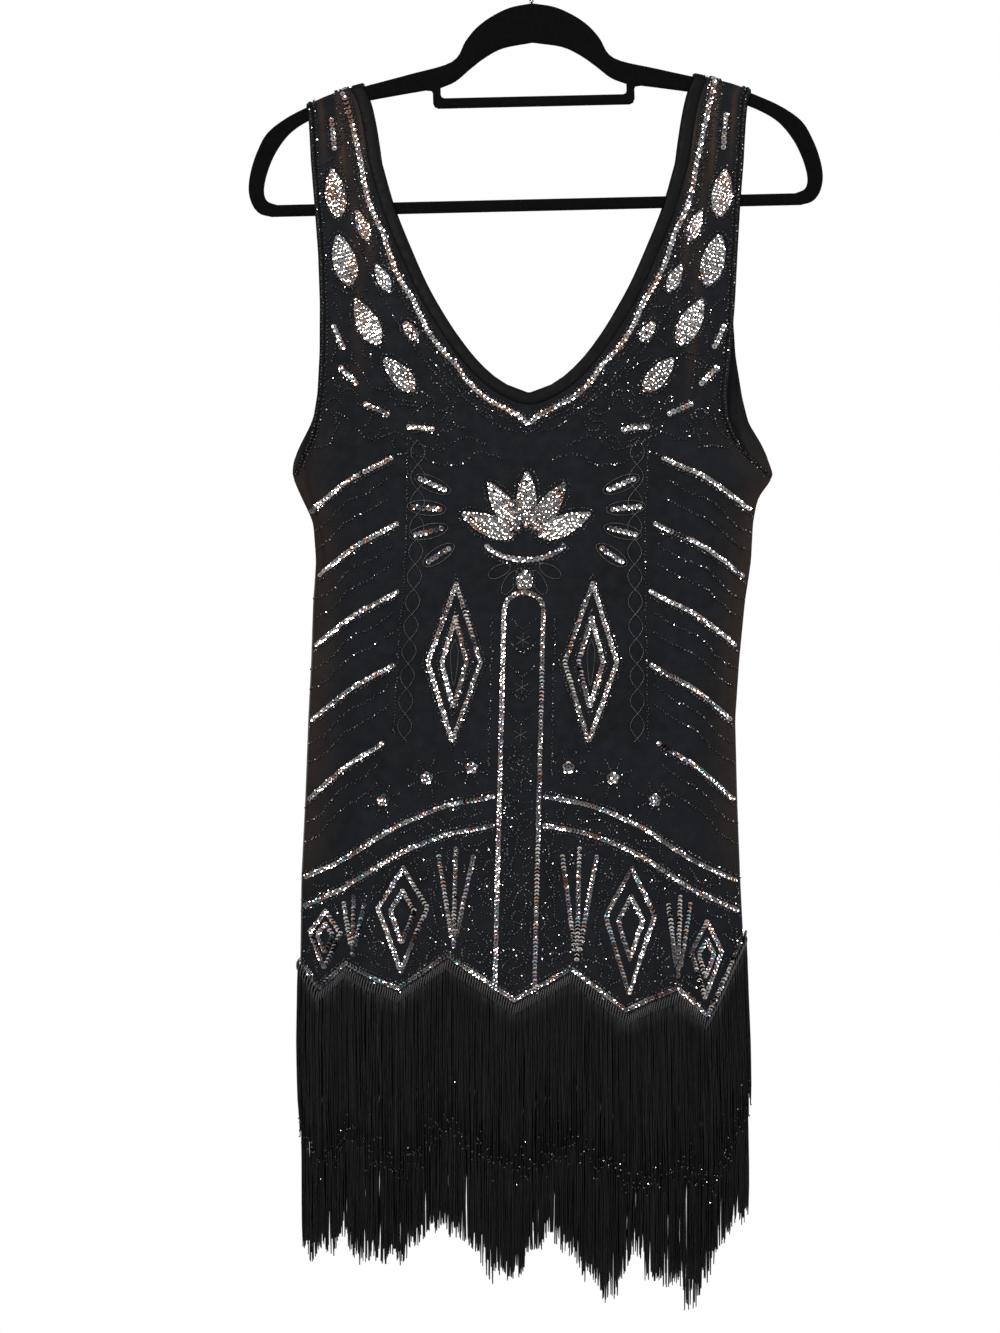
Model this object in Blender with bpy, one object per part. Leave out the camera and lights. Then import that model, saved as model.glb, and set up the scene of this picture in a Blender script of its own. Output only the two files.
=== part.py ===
"""A sleeveless beaded flapper dress that hangs on a slim velvet hanger, as solid pieces.

Sizes are in millimetres and become metres when a mesh is made. +Z is up, the front of the dress
faces -Y, and the origin is where a rod bears, at the inner top of the hanger's hook.
"""
import math
import random
from collections import Counter, namedtuple

import bmesh
import bpy
from mathutils import Matrix, Vector

METRES = 0.001

# Cloth thicknesses and the gaps between pieces
PANEL_WALL = 1.6
UNDERSKIRT_WALL = 1.2
BINDING_WALL = 1.0
TAPE_WALL = 1.2
SEAM_GAP = 0.3
LAYER_GAP = 0.35
BINDING_GAP = 0.6
TAPE_GAP = 0.7

# Hanger
HANGER_THICKNESS = 5.0
HANGER_EDGE_ROUND = 1.6
ARM_GAP = 0.4
HANGER_TILT = math.radians(1.3)
ARCH_TOP = -78.0
INNER_BAR = (-149.9, -156.4)
INNER_BAR_HALF_WIDTH = (71.9, 78.0)
ARM_SPAN = (90.0, 208.0)

# Hook
HOOK_WIRE = 3.6
HOOK_INNER_RADIUS = 19.0
HOOK_TIP_ANGLE = math.radians(205)
HOOK_THROAT_ANGLE = math.radians(-55)
HOOK_STEM_TOP = -57.0

# Straps, where they roll over the hanger's arm
STRAP_ROLL_RADIUS = 4.8
ROLL_START = -150.0
SLANT_START = -200.0
ROLL_STEPS = 3

# Body of the dress
SECTION_POWER = 2.3
UNDERARM = -444.5
BAND_SHARE = 0.1
CREASE_SHARE = 0.2
STOP_SHARES = (0.0, BAND_SHARE, CREASE_SHARE, 1.0)
HEM_LEVEL = -840.0
HEM_WARP_START = -765.0
WIDEST_COLUMN = 20.0

# Fringe
LOCKS_IN_A_TIER = 46
LOCK_GAP_SHARE = 0.22
LOCK_TIP_WIDTH_SHARE = 0.62
LOCK_TIP_SWAY = 0.09
LOCK_TIP_INSET = 0.3
UPPER_TIER_LENGTH = 124.0
LOCK_RAGGEDNESS = 5.0
TAPE_ABOVE_HEM = 6.0
TAPE_BELOW_HEM = 3.0
UNDERSKIRT_LENGTH = 88.0
SEED = 1926

# Bindings
NECK_BINDING_WIDTH = 9.0
ARM_BINDING_WIDTH = 5.0

# Outer edges, side creases and depths of the front, a row for each height from the top down
Section = namedtuple("Section", "height left left_crease right_crease right depth edge_depth")
FRONT_SECTIONS = [
    Section(-150.0, -173.7, -167.5, 162.2, 169.1, 4.8, 4.8),
    Section(-165.0, -172.9, -166.8, 159.9, 166.8, 4.8, 4.8),
    Section(-196.0, -170.6, -164.5, 156.8, 163.7, 4.8, 4.8),
    Section(-234.0, -167.5, -161.4, 153.8, 160.7, 5.2, 4.8),
    Section(-272.0, -164.5, -158.4, 151.5, 158.4, 8.0, 5.4),
    Section(-311.0, -162.9, -156.8, 149.2, 156.1, 12.0, 6.2),
    Section(-349.0, -162.9, -156.8, 146.1, 153.0, 15.5, 6.6),
    Section(-381.0, -164.5, -158.4, 142.3, 149.2, 18.0, 6.2),
    Section(-399.0, -167.5, -161.4, 141.5, 150.7, 18.5, 5.4),
    Section(-414.0, -170.6, -165.2, 143.1, 157.6, 19.0, 4.4),
    Section(-429.0, -178.2, -169.1, 144.6, 168.3, 19.5, 3.0),
    Section(-444.5, -185.1, -169.1, 145.3, 187.4, 20.0, 0.15),
    Section(-460.0, -178.2, -168.3, 145.3, 175.2, 20.0, 0.15),
    Section(-479.0, -169.1, -163.7, 145.3, 171.4, 20.0, 0.15),
    Section(-510.0, -166.8, -158.4, 145.3, 169.8, 20.0, 0.15),
    Section(-540.0, -169.1, -159.9, 145.3, 165.2, 20.0, 0.15),
    Section(-586.0, -170.6, -160.7, 146.1, 160.7, 20.5, 0.15),
    Section(-632.0, -172.9, -162.9, 147.6, 157.6, 20.5, 0.15),
    Section(-693.0, -175.2, -165.2, 149.2, 159.1, 21.0, 0.15),
    Section(-754.0, -178.2, -168.3, 151.5, 161.4, 21.5, 0.15),
    Section(-815.0, -179.0, -169.1, 153.8, 164.5, 22.0, 0.15),
    Section(-877.0, -179.8, -169.8, 156.1, 166.8, 22.0, 0.15),
    Section(-976.0, -177.5, -168.3, 157.6, 167.5, 21.5, 0.15),
    Section(-1085.0, -177.0, -168.0, 157.0, 167.0, 21.0, 0.15),
]

# The back shares the side seams with the front, and its armholes are cut less deep
BACK_SECTIONS = [
    Section(-150.0, -173.7, -166.0, 161.5, 169.1, 4.8, 4.8),
    Section(-196.0, -170.6, -163.0, 156.0, 163.7, 4.8, 4.8),
    Section(-234.0, -167.5, -160.0, 153.0, 160.7, 5.2, 4.8),
    Section(-272.0, -164.5, -157.0, 150.5, 158.4, 7.5, 5.4),
    Section(-311.0, -162.9, -155.0, 148.0, 156.1, 9.5, 6.0),
    Section(-349.0, -162.9, -155.0, 149.0, 158.4, 11.5, 6.0),
    Section(-383.0, -165.2, -156.5, 152.5, 163.7, 13.0, 5.6),
    Section(-402.0, -170.6, -159.0, 154.0, 168.3, 14.0, 4.8),
    Section(-418.0, -178.2, -160.5, 155.0, 177.5, 14.5, 3.8),
    Section(-433.0, -184.4, -161.0, 155.5, 183.6, 15.0, 2.2),
    Section(-444.5, -185.1, -161.0, 155.5, 187.4, 15.0, 0.15),
    Section(-460.0, -178.2, -160.0, 155.0, 175.2, 15.5, 0.15),
    Section(-479.0, -169.1, -156.0, 154.0, 171.4, 15.5, 0.15),
    Section(-510.0, -166.8, -153.5, 153.0, 169.8, 16.0, 0.15),
    Section(-540.0, -169.1, -154.5, 150.5, 165.2, 16.0, 0.15),
    Section(-586.0, -170.6, -156.5, 147.0, 160.7, 16.5, 0.15),
    Section(-632.0, -172.9, -160.0, 146.5, 157.6, 16.5, 0.15),
    Section(-693.0, -175.2, -163.5, 148.5, 159.1, 17.0, 0.15),
    Section(-754.0, -178.2, -167.5, 151.0, 161.4, 17.5, 0.15),
    Section(-815.0, -179.0, -169.1, 153.8, 164.5, 18.0, 0.15),
    Section(-877.0, -179.8, -169.8, 156.1, 166.8, 18.0, 0.15),
    Section(-976.0, -177.5, -168.3, 157.6, 167.5, 17.5, 0.15),
    Section(-1085.0, -177.0, -168.0, 157.0, 167.0, 17.0, 0.15),
]

# Half the width of the V neck on each side of the centre line
NeckRow = namedtuple("NeckRow", "height half_width")
NECK = [
    NeckRow(-148.4, 127.8),
    NeckRow(-172.9, 121.3),
    NeckRow(-203.5, 112.9),
    NeckRow(-234.1, 104.0),
    NeckRow(-264.7, 91.8),
    NeckRow(-295.3, 78.0),
    NeckRow(-325.9, 60.4),
    NeckRow(-348.8, 44.0),
    NeckRow(-364.1, 29.5),
    NeckRow(-374.5, 14.0),
    NeckRow(-379.0, 0.0),
]

# The centre line hangs a little to the left
CentreRow = namedtuple("CentreRow", "height x")
CENTRE_LINE = [CentreRow(-379.0, -2.3), CentreRow(-853.0, -13.8), CentreRow(-1085.0, -15.0)]

# Corners of the zigzag hem, from the left seam to the right seam
HemCorner = namedtuple("HemCorner", "x height")
HEM_CORNERS = [
    HemCorner(-179.5, -821.6),
    HemCorner(-163.7, -846.1),
    HemCorner(-142.3, -826.2),
    HemCorner(-102.5, -845.3),
    HemCorner(-64.3, -818.6),
    HemCorner(-13.8, -853.0),
    HemCorner(29.8, -829.3),
    HemCorner(71.9, -861.4),
    HemCorner(110.2, -843.8),
    HemCorner(134.6, -866.7),
    HemCorner(165.4, -800.2),
]

# Lowest ends of the lower fringe
FringeEnd = namedtuple("FringeEnd", "x height")
FRINGE_ENDS = [
    FringeEnd(-178.0, -1036.0),
    FringeEnd(-169.0, -1041.0),
    FringeEnd(-146.9, -1027.0),
    FringeEnd(-108.6, -1050.0),
    FringeEnd(-70.4, -1014.0),
    FringeEnd(-16.8, -1058.0),
    FringeEnd(15.3, -1018.0),
    FringeEnd(58.1, -1076.0),
    FringeEnd(78.0, -1038.0),
    FringeEnd(121.6, -1075.0),
    FringeEnd(154.5, -1020.0),
    FringeEnd(167.0, -1010.0),
]

# Soft folds that run down the cloth: ridges have a rise above nought, troughs below it
Fold = namedtuple("Fold", "top_x low_x top low rise half_width")
FRONT_FOLDS = [
    Fold(-137.0, -111.0, -395.0, -1085.0, 3.6, 17.0),
    Fold(-112.0, -84.0, -455.0, -1085.0, -3.0, 18.0),
    Fold(-52.0, -48.0, -640.0, -1085.0, 2.4, 20.0),
    Fold(26.0, 20.0, -600.0, -1000.0, -2.2, 22.0),
    Fold(103.0, 58.0, -440.0, -1085.0, -2.6, 18.0),
    Fold(129.0, 86.0, -380.0, -1085.0, 4.4, 19.0),
    Fold(-148.0, -146.0, -780.0, -1085.0, -2.2, 12.0),
    Fold(128.0, 130.0, -800.0, -1085.0, -2.6, 14.0),
]
BACK_FOLDS = [
    Fold(-126.0, -98.0, -410.0, -1085.0, 3.4, 18.0),
    Fold(-100.0, -62.0, -500.0, -1085.0, -2.6, 20.0),
    Fold(-12.0, -24.0, -560.0, -1040.0, 2.6, 24.0),
    Fold(44.0, 34.0, -660.0, -1085.0, -2.4, 20.0),
    Fold(112.0, 84.0, -430.0, -1085.0, 4.0, 19.0),
    Fold(128.0, 118.0, -690.0, -1085.0, -2.6, 16.0),
]

# Deep creases near the side seams, beyond which the cloth lies further in
Crease = namedtuple("Crease", "hand top low depth")
LEFT, RIGHT = -1, 1
FRONT_CREASES = [Crease(LEFT, -395.0, -540.0, 5.0), Crease(RIGHT, -388.0, -680.0, 6.0)]
BACK_CREASES = [Crease(LEFT, -400.0, -600.0, 5.5), Crease(RIGHT, -400.0, -560.0, 4.0)]

# Height of each row of the panels' mesh between the strap's roll and the start of the hem's warp
FRONT_ROWS = [-165.0, -181.0, -200.0, -219.0, -238.0, -258.0, -280.0, -303.0, -326.0, -345.0, -361.0,
              -373.0, -382.0, -399.0, -414.0, -429.0, -437.0, -444.5, -452.0, -466.0, -488.0, -515.0,
              -550.0, -590.0, -635.0, -680.0, -725.0, -765.0]
BACK_ROWS = [-170.0, -200.0, -230.0, -260.0, -292.0, -322.0, -345.0, -361.0, -373.0, -379.0, -402.0,
             -418.0, -433.0, -444.5, -455.0, -479.0, -510.0, -560.0, -620.0, -690.0, -765.0]
HEM_WARP_ROWS = 3

Side = namedtuple("Side", "name facing sections folds creases rows neck_shift flank_depth")
FRONT = Side("front", -1.0, FRONT_SECTIONS, FRONT_FOLDS, FRONT_CREASES, FRONT_ROWS, 3.0, 3.4)
BACK = Side("back", 1.0, BACK_SECTIONS, BACK_FOLDS, BACK_CREASES, BACK_ROWS, 0.0, 2.2)

# Right half of the hanger's outlines, from the middle outwards and down, before its tilt
HangerPoint = namedtuple("HangerPoint", "x height")
HANGER_OUTSIDE = [
    HangerPoint(0.0, -78.0),
    HangerPoint(17.2, -81.1),
    HangerPoint(32.1, -88.0),
    HangerPoint(43.6, -96.4),
    HangerPoint(52.0, -106.3),
    HangerPoint(62.7, -121.8),
    HangerPoint(95.6, -130.8),
    HangerPoint(128.5, -138.8),
    HangerPoint(153.0, -145.3),
    HangerPoint(172.1, -153.0),
    HangerPoint(191.2, -162.2),
    HangerPoint(206.6, -173.7),
    HangerPoint(215.0, -188.2),
    HangerPoint(220.3, -203.5),
    HangerPoint(222.2, -217.3),
    HangerPoint(219.8, -228.5),
    HangerPoint(214.0, -235.6),
    HangerPoint(205.0, -238.3),
]
ARCH_WINDOW = [
    HangerPoint(0.0, -107.9),
    HangerPoint(22.6, -111.7),
    HangerPoint(36.7, -118.6),
    HangerPoint(48.2, -127.0),
    HangerPoint(60.0, -136.5),
    HangerPoint(71.9, -141.5),
]
MAIN_WINDOW = [
    HangerPoint(78.0, -142.3),
    HangerPoint(104.8, -146.3),
    HangerPoint(131.6, -150.8),
    HangerPoint(156.8, -157.3),
    HangerPoint(176.0, -165.2),
    HangerPoint(189.7, -174.4),
    HangerPoint(200.4, -188.2),
    HangerPoint(207.3, -203.5),
    HangerPoint(210.4, -217.5),
    HangerPoint(208.1, -226.0),
    HangerPoint(200.4, -229.5),
]

MATERIALS = {
    "beaded_net": ((0.010, 0.011, 0.014, 1.0), 0.75, 0.0),
    "slip": ((0.006, 0.006, 0.007, 1.0), 0.85, 0.0),
    "binding": ((0.008, 0.008, 0.009, 1.0), 0.6, 0.0),
    "fringe": ((0.006, 0.006, 0.007, 1.0), 0.5, 0.0),
    "velvet": ((0.004, 0.004, 0.004, 1.0), 0.95, 0.0),
    "steel": ((0.62, 0.62, 0.64, 1.0), 0.22, 1.0),
}


def mix(first, last, share):
    """The value that lies a share of the way from the first to the last."""
    return first + (last - first) * share


def read_table(rows, column, value, key="height"):
    """One column of a table at a value between its rows, which run one way along the key."""
    for upper, lower in zip(rows, rows[1:]):
        start = getattr(upper, key)
        end = getattr(lower, key)
        share = (value - start) / (end - start)
        if share <= 1.0:
            return mix(getattr(upper, column), getattr(lower, column), max(share, 0.0))
    return getattr(rows[-1], column)


def soft_window(height, top, low, ramp=70.0):
    """One between two heights and nought beyond them, with soft ends."""
    share = min(top - height, height - low) / ramp
    share = min(max(share, 0.0), 1.0)
    return share * share * (3.0 - 2.0 * share)


def smooth_path(points, steps):
    """A smooth line through points, each stretch in a few steps."""
    ends = [points[0] * 2.0 - points[1]] + points + [points[-1] * 2.0 - points[-2]]
    path = []
    for before, start, end, after in zip(ends, ends[1:], ends[2:], ends[3:]):
        for step in range(steps):
            t = step / steps
            path.append(0.5 * (2.0 * start + (end - before) * t
                               + (2.0 * before - 5.0 * start + 4.0 * end - after) * t * t
                               + (3.0 * start - before - 3.0 * end + after) * t ** 3))
    return path + [points[-1]]


def table_path(table):
    """The smooth line through a table of the hanger's points."""
    return smooth_path([Vector((point.x, point.height)) for point in table], 2)


def tilted(point):
    """A point of the hanger after its tilt about the top of the arch."""
    pivot = Vector((0.0, ARCH_TOP))
    return pivot + Matrix.Rotation(HANGER_TILT, 2) @ (point - pivot)


def arm_points(hand):
    """Points along the upper edge of the tilted hanger's arm on one side, from the arch outwards."""
    path = [tilted(Vector((hand * point.x, point.y))) for point in table_path(HANGER_OUTSIDE)]
    return [HangerPoint(abs(point.x), point.y) for point in path if ARM_SPAN[0] < abs(point.x) < ARM_SPAN[1]]


def arm_top(x):
    """Height of the upper edge of the tilted hanger's arm."""
    return read_table(ARMS[LEFT if x < 0.0 else RIGHT], "height", abs(x), key="x")


def roll_centre(x):
    """Height of the axis that a strap rolls round, so that it just clears the arm."""
    return arm_top(x) + ARM_GAP - (STRAP_ROLL_RADIUS - PANEL_WALL)


ARMS = {hand: arm_points(hand) for hand in (LEFT, RIGHT)}


def edge_x(side, hand, height):
    """X of the armhole's edge or the side seam."""
    return read_table(side.sections, "left" if hand == LEFT else "right", height)


def crease_x(side, hand, height):
    """X of the crease line near the edge."""
    return read_table(side.sections, "left_crease" if hand == LEFT else "right_crease", height)


def inner_x(side, hand, height):
    """X of the neck's edge, or of the centre line below the V."""
    half_width = read_table(NECK, "half_width", height + side.neck_shift)
    return read_table(CENTRE_LINE, "x", height) + hand * half_width


def stops_across(side, hand, height):
    """X of the outer edge, the armhole band, the crease and the neck or centre line."""
    edge = edge_x(side, hand, height)
    band = edge - hand * ARM_BINDING_WIDTH
    return edge, band, crease_x(side, hand, height), inner_x(side, hand, height)


def x_at(side, hand, share, height):
    """X at a share of the way from the outer edge, past the crease, to the neck or the centre."""
    stops = stops_across(side, hand, height)
    for index in range(2):
        if share < STOP_SHARES[index + 1]:
            break
    else:
        index = 2
    part = (share - STOP_SHARES[index]) / (STOP_SHARES[index + 1] - STOP_SHARES[index])
    return mix(stops[index], stops[index + 1], part)


def share_at(side, hand, x, height):
    """The share whose X is given: x_at turned round."""
    stops = stops_across(side, hand, height)
    for index in range(2):
        if (x - stops[index + 1]) * hand > 0.0:
            break
    else:
        index = 2
    part = (x - stops[index]) / (stops[index + 1] - stops[index])
    return mix(STOP_SHARES[index], STOP_SHARES[index + 1], min(max(part, 0.0), 1.0))


def fold_rise(side, x, height):
    """How far the soft folds lift the cloth at a point."""
    rise = 0.0
    for fold in side.folds:
        along = (fold.top - height) / (fold.top - fold.low)
        distance = abs(x - mix(fold.top_x, fold.low_x, along)) / fold.half_width
        if distance < 1.0 and 0.0 < along:
            ridge = 0.5 + 0.5 * math.cos(math.pi * distance)
            rise += fold.rise * ridge * soft_window(height, fold.top, fold.low - 200.0)
    return rise


def crease_fall(side, hand, share, height):
    """How far the cloth beyond a crease lies further in."""
    beyond = min(max((CREASE_SHARE - share) / (CREASE_SHARE - BAND_SHARE), 0.0), 1.0)
    fall = 0.0
    for crease in side.creases:
        if crease.hand == hand:
            fall += crease.depth * beyond * soft_window(height, crease.top, crease.low, ramp=45.0)
    return fall


def section_point(side, hand, share, height):
    """X and distance from the middle plane of the cloth's outer face."""
    x = x_at(side, hand, share, height)
    left = edge_x(side, LEFT, height)
    right = edge_x(side, RIGHT, height)
    across = min(abs(2.0 * x - left - right) / (right - left), 1.0)
    roundness = (1.0 - across ** SECTION_POWER) ** (1.0 / SECTION_POWER)
    edge_depth = read_table(side.sections, "edge_depth", height)
    depth = mix(edge_depth, read_table(side.sections, "depth", height), roundness)
    depth += fold_rise(side, x, height) * min(1.0, 2.0 * roundness)
    depth -= crease_fall(side, hand, share, height)
    if share > 0.0:
        depth = max(depth, side.flank_depth)
    return x, max(depth, edge_depth if share == 0.0 else 0.0)


def section_normal(side, hand, share, height):
    """Outward direction of the cloth in the plane of its section."""
    if share == 0.0 and height <= UNDERARM:
        return Vector((hand, 0.0))
    step = 0.02
    before = section_point(side, hand, max(share - step, 0.0), height)
    after = section_point(side, hand, min(share + step, 1.0), height)
    run = (after[0] - before[0]) * -hand
    rise = (after[1] - before[1]) * -hand * side.facing
    return Vector((-side.facing * rise, side.facing * run)).normalized()


def column_point(side, hand, share, height, out):
    """A point of the cloth, moved out from its outer face."""
    body_height = min(height, ROLL_START)
    x, depth = section_point(side, hand, share, body_height)
    normal = section_normal(side, hand, share, body_height)
    roll = max(height - ROLL_START, 0.0) / STRAP_ROLL_RADIUS
    lean = max(body_height - SLANT_START, 0.0) / (ROLL_START - SLANT_START)
    z = mix(body_height, roll_centre(x), lean)
    z += (STRAP_ROLL_RADIUS + out) * math.sin(roll)
    half_gap = SEAM_GAP / 2.0
    y = side.facing * (half_gap + (depth - half_gap) * math.cos(roll))
    flat = normal * out * math.cos(roll)
    return Vector((x + flat.x, y + flat.y, z))


def skin(side, hand, share, height, out):
    """A point on the faceted cloth: between the mesh's columns it lies on a straight line."""
    columns = COLUMNS[hand]
    for before, after in zip(columns, columns[1:]):
        if share <= after:
            part = (share - before) / (after - before)
            start = column_point(side, hand, before, height, out)
            end = column_point(side, hand, after, height, out)
            return start.lerp(end, part)
    return column_point(side, hand, columns[-1], height, out)


def column_shares(hand):
    """Shares of the mesh's columns, with one at each corner of the zigzag hem."""
    shares = [0.0, BAND_SHARE, CREASE_SHARE]
    crease = crease_x(FRONT, hand, HEM_LEVEL)
    centre = inner_x(FRONT, hand, HEM_LEVEL)
    stops = [corner.x for corner in HEM_CORNERS if crease * hand > corner.x * hand > centre * hand]
    stops = [crease] + sorted(stops, key=lambda x: -x * hand) + [centre]
    for start, end in zip(stops, stops[1:]):
        pieces = math.ceil(abs(end - start) / WIDEST_COLUMN)
        for piece in range(pieces):
            x = mix(start, end, (piece + 1) / pieces)
            shares.append(share_at(FRONT, hand, x, HEM_LEVEL))
    return shares


COLUMNS = {hand: column_shares(hand) for hand in (LEFT, RIGHT)}


def hem_height(x):
    """Height of the zigzag hem."""
    return read_table(HEM_CORNERS, "height", x, key="x")


def panel_hem(hand, share):
    """Height of the hem on one of the mesh's columns."""
    return hem_height(x_at(FRONT, hand, share, HEM_LEVEL))


def make_material(name):
    """A plain material with the part's colour, roughness and metallic value."""
    material = bpy.data.materials.get(name)
    if material is None:
        colour, roughness, metallic = MATERIALS[name]
        material = bpy.data.materials.new(name)
        material.use_nodes = True
        shader = material.node_tree.nodes["Principled BSDF"]
        shader.inputs["Base Color"].default_value = colour
        shader.inputs["Roughness"].default_value = roughness
        shader.inputs["Metallic"].default_value = metallic
    return material


def add_object(name, data, material):
    """Link a mesh or curve to the scene as a named object with its material."""
    data.materials.append(make_material(material))
    piece = bpy.data.objects.new(name, data)
    bpy.context.scene.collection.objects.link(piece)
    return piece


def finish_mesh(name, shape, material):
    """Turn a bmesh in millimetres into an object in metres, with its faces pointing out."""
    bmesh.ops.recalc_face_normals(shape, faces=shape.faces)
    bmesh.ops.scale(shape, vec=(METRES, METRES, METRES), verts=shape.verts)
    mesh = bpy.data.meshes.new(name)
    shape.to_mesh(mesh)
    shape.free()
    mesh.shade_smooth()
    mesh.set_sharp_from_angle(angle=math.radians(50))
    return add_object(name, mesh, material)


def build_wall(name, quads, place, outer, inner, material):
    """A closed wall: the quads at two distances from the cloth's face, joined at their free edges."""
    shape = bmesh.new()
    corners = {}

    def corner(key, out):
        if (key, out) not in corners:
            corners[key, out] = shape.verts.new(place(key, out))
        return corners[key, out]

    uses = Counter()
    for quad in quads:
        for triangle in ((quad[0], quad[1], quad[2]), (quad[0], quad[2], quad[3])):
            shape.faces.new([corner(key, outer) for key in triangle])
            shape.faces.new([corner(key, inner) for key in triangle])
        uses.update(frozenset((quad[i], quad[(i + 1) % 4])) for i in range(4))
    for quad in quads:
        for start, end in zip(quad, quad[1:] + quad[:1]):
            if uses[frozenset((start, end))] == 1:
                shape.faces.new([corner(end, outer), corner(start, outer),
                                 corner(start, inner), corner(end, inner)])
    return finish_mesh(name, shape, material)


def grid_quads(hands, row_count, shared_from):
    """Quads of a panel in two halves, which share the centre column from one row down."""
    def key(hand, column, row):
        if column == len(COLUMNS[hand]) - 1 and row >= shared_from:
            return (0, 0, row)
        return (hand, column, row)

    quads = []
    for hand in hands:
        for column in range(len(COLUMNS[hand]) - 1):
            for row in range(row_count - 1):
                quads.append([key(hand, column, row), key(hand, column + 1, row),
                              key(hand, column + 1, row + 1), key(hand, column, row + 1)])
    return quads


def key_place(key):
    """The hand and share that a key of a panel's mesh stands for."""
    hand, column, _ = key
    if hand == 0:
        return LEFT, 1.0
    return hand, COLUMNS[hand][column]


def roll_heights():
    """Heights, measured along the cloth, of the rows of a strap's roll, from the shoulder down."""
    arc = STRAP_ROLL_RADIUS * math.pi / 2.0
    return [ROLL_START + arc * (1.0 - step / ROLL_STEPS) for step in range(ROLL_STEPS + 1)]


def build_panel(side):
    """The front or the back, with its straps, V neck, armholes and zigzag hem."""
    heights = roll_heights() + side.rows
    warp_start = len(heights) - 1
    row_count = len(heights) + HEM_WARP_ROWS
    neck_bottom = NECK[-1].height - side.neck_shift
    shared_from = heights.index(neck_bottom)

    def place(key, out):
        hand, share = key_place(key)
        row = key[2]
        if row <= warp_start:
            return column_point(side, hand, share, heights[row], out)
        warp = (row - warp_start) / HEM_WARP_ROWS
        return column_point(side, hand, share, mix(HEM_WARP_START, panel_hem(hand, share), warp), out)

    quads = grid_quads((LEFT, RIGHT), row_count, shared_from)
    build_wall(side.name, quads, place, 0.0, -PANEL_WALL, "beaded_net")


def build_underskirt(side):
    """The slip's lower edge behind the upper fringe, which carries the lower fringe."""
    def place(key, out):
        hand, share = key_place(key)
        hem = panel_hem(hand, share)
        top = mix(HEM_WARP_START, hem, (HEM_WARP_ROWS - 1) / HEM_WARP_ROWS)
        heights = (top, hem, hem - UNDERSKIRT_LENGTH / 2.0, hem - UNDERSKIRT_LENGTH)
        return column_point(side, hand, share, heights[key[2]], out)

    outer = -PANEL_WALL - LAYER_GAP
    quads = grid_quads((LEFT, RIGHT), 4, 0)
    name = "underskirt_" + side.name
    build_wall(name, quads, place, outer, outer - UNDERSKIRT_WALL, "slip")


def strip_quads(count):
    """Quads of a strip of two lines of points."""
    return [[(i, 0), (i + 1, 0), (i + 1, 1), (i, 1)] for i in range(count - 1)]


def build_neck_binding(side):
    """The plain band along the V neck, laid on the panel from one shoulder to the other."""
    bottom = NECK[-1].height - side.neck_shift
    heights = roll_heights() + [height for height in side.rows if height > bottom]
    line = [(LEFT, height) for height in heights]
    line += [(LEFT, bottom)]
    line += [(RIGHT, height) for height in reversed(heights)]
    edges = [Vector((inner_x(side, hand, min(height, ROLL_START)), height)) for hand, height in line]
    last = len(edges) - 1

    def into_cloth(index):
        hand, height = line[index]
        if height == bottom:
            return Vector((0.0, -1.0))
        if height >= ROLL_START:
            return Vector((hand, 0.0))
        along = edges[min(index + 1, last)] - edges[max(index - 1, 0)]
        return Vector((along.y, -along.x)).normalized()

    def place(key, out):
        index, row = key
        hand = line[index][0]
        point = edges[index] + into_cloth(index) * NECK_BINDING_WIDTH * row
        body_height = min(point.y, ROLL_START)
        share = share_at(side, hand, point.x, body_height)
        return skin(side, hand, share, point.y, out)

    name = "neck_binding_" + side.name
    build_wall(name, strip_quads(len(line)), place, BINDING_GAP + BINDING_WALL, BINDING_GAP, "binding")


def build_arm_binding(side, hand):
    """The narrow band along one armhole's edge, laid on the panel."""
    heights = roll_heights() + [height for height in side.rows if height >= UNDERARM]

    def place(key, out):
        index, row = key
        return column_point(side, hand, BAND_SHARE * row, heights[index], out)

    name = "arm_binding_%s_%s" % (side.name, "left" if hand == LEFT else "right")
    build_wall(name, strip_quads(len(heights)), place, BINDING_GAP + BINDING_WALL, BINDING_GAP, "binding")


def split_across(across):
    """A place across the whole side, from 0 at the left seam to 1 at the right, as hand and share."""
    if across <= 0.5:
        return LEFT, 2.0 * across
    return RIGHT, 2.0 * (1.0 - across)


def even_places(side, fractions):
    """Places across that lie at the given fractions of the cloth's length round a side."""
    samples = 240
    places = [i / samples for i in range(samples + 1)]
    points = [skin(side, *split_across(place), HEM_LEVEL, 0.0) for place in places]
    lengths = [0.0]
    for start, end in zip(points, points[1:]):
        lengths.append(lengths[-1] + (end - start).length)
    Mark = namedtuple("Mark", "length place")
    marks = [Mark(length, place) for length, place in zip(lengths, places)]
    return [read_table(marks, "place", fraction * lengths[-1], key="length") for fraction in fractions]


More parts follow.
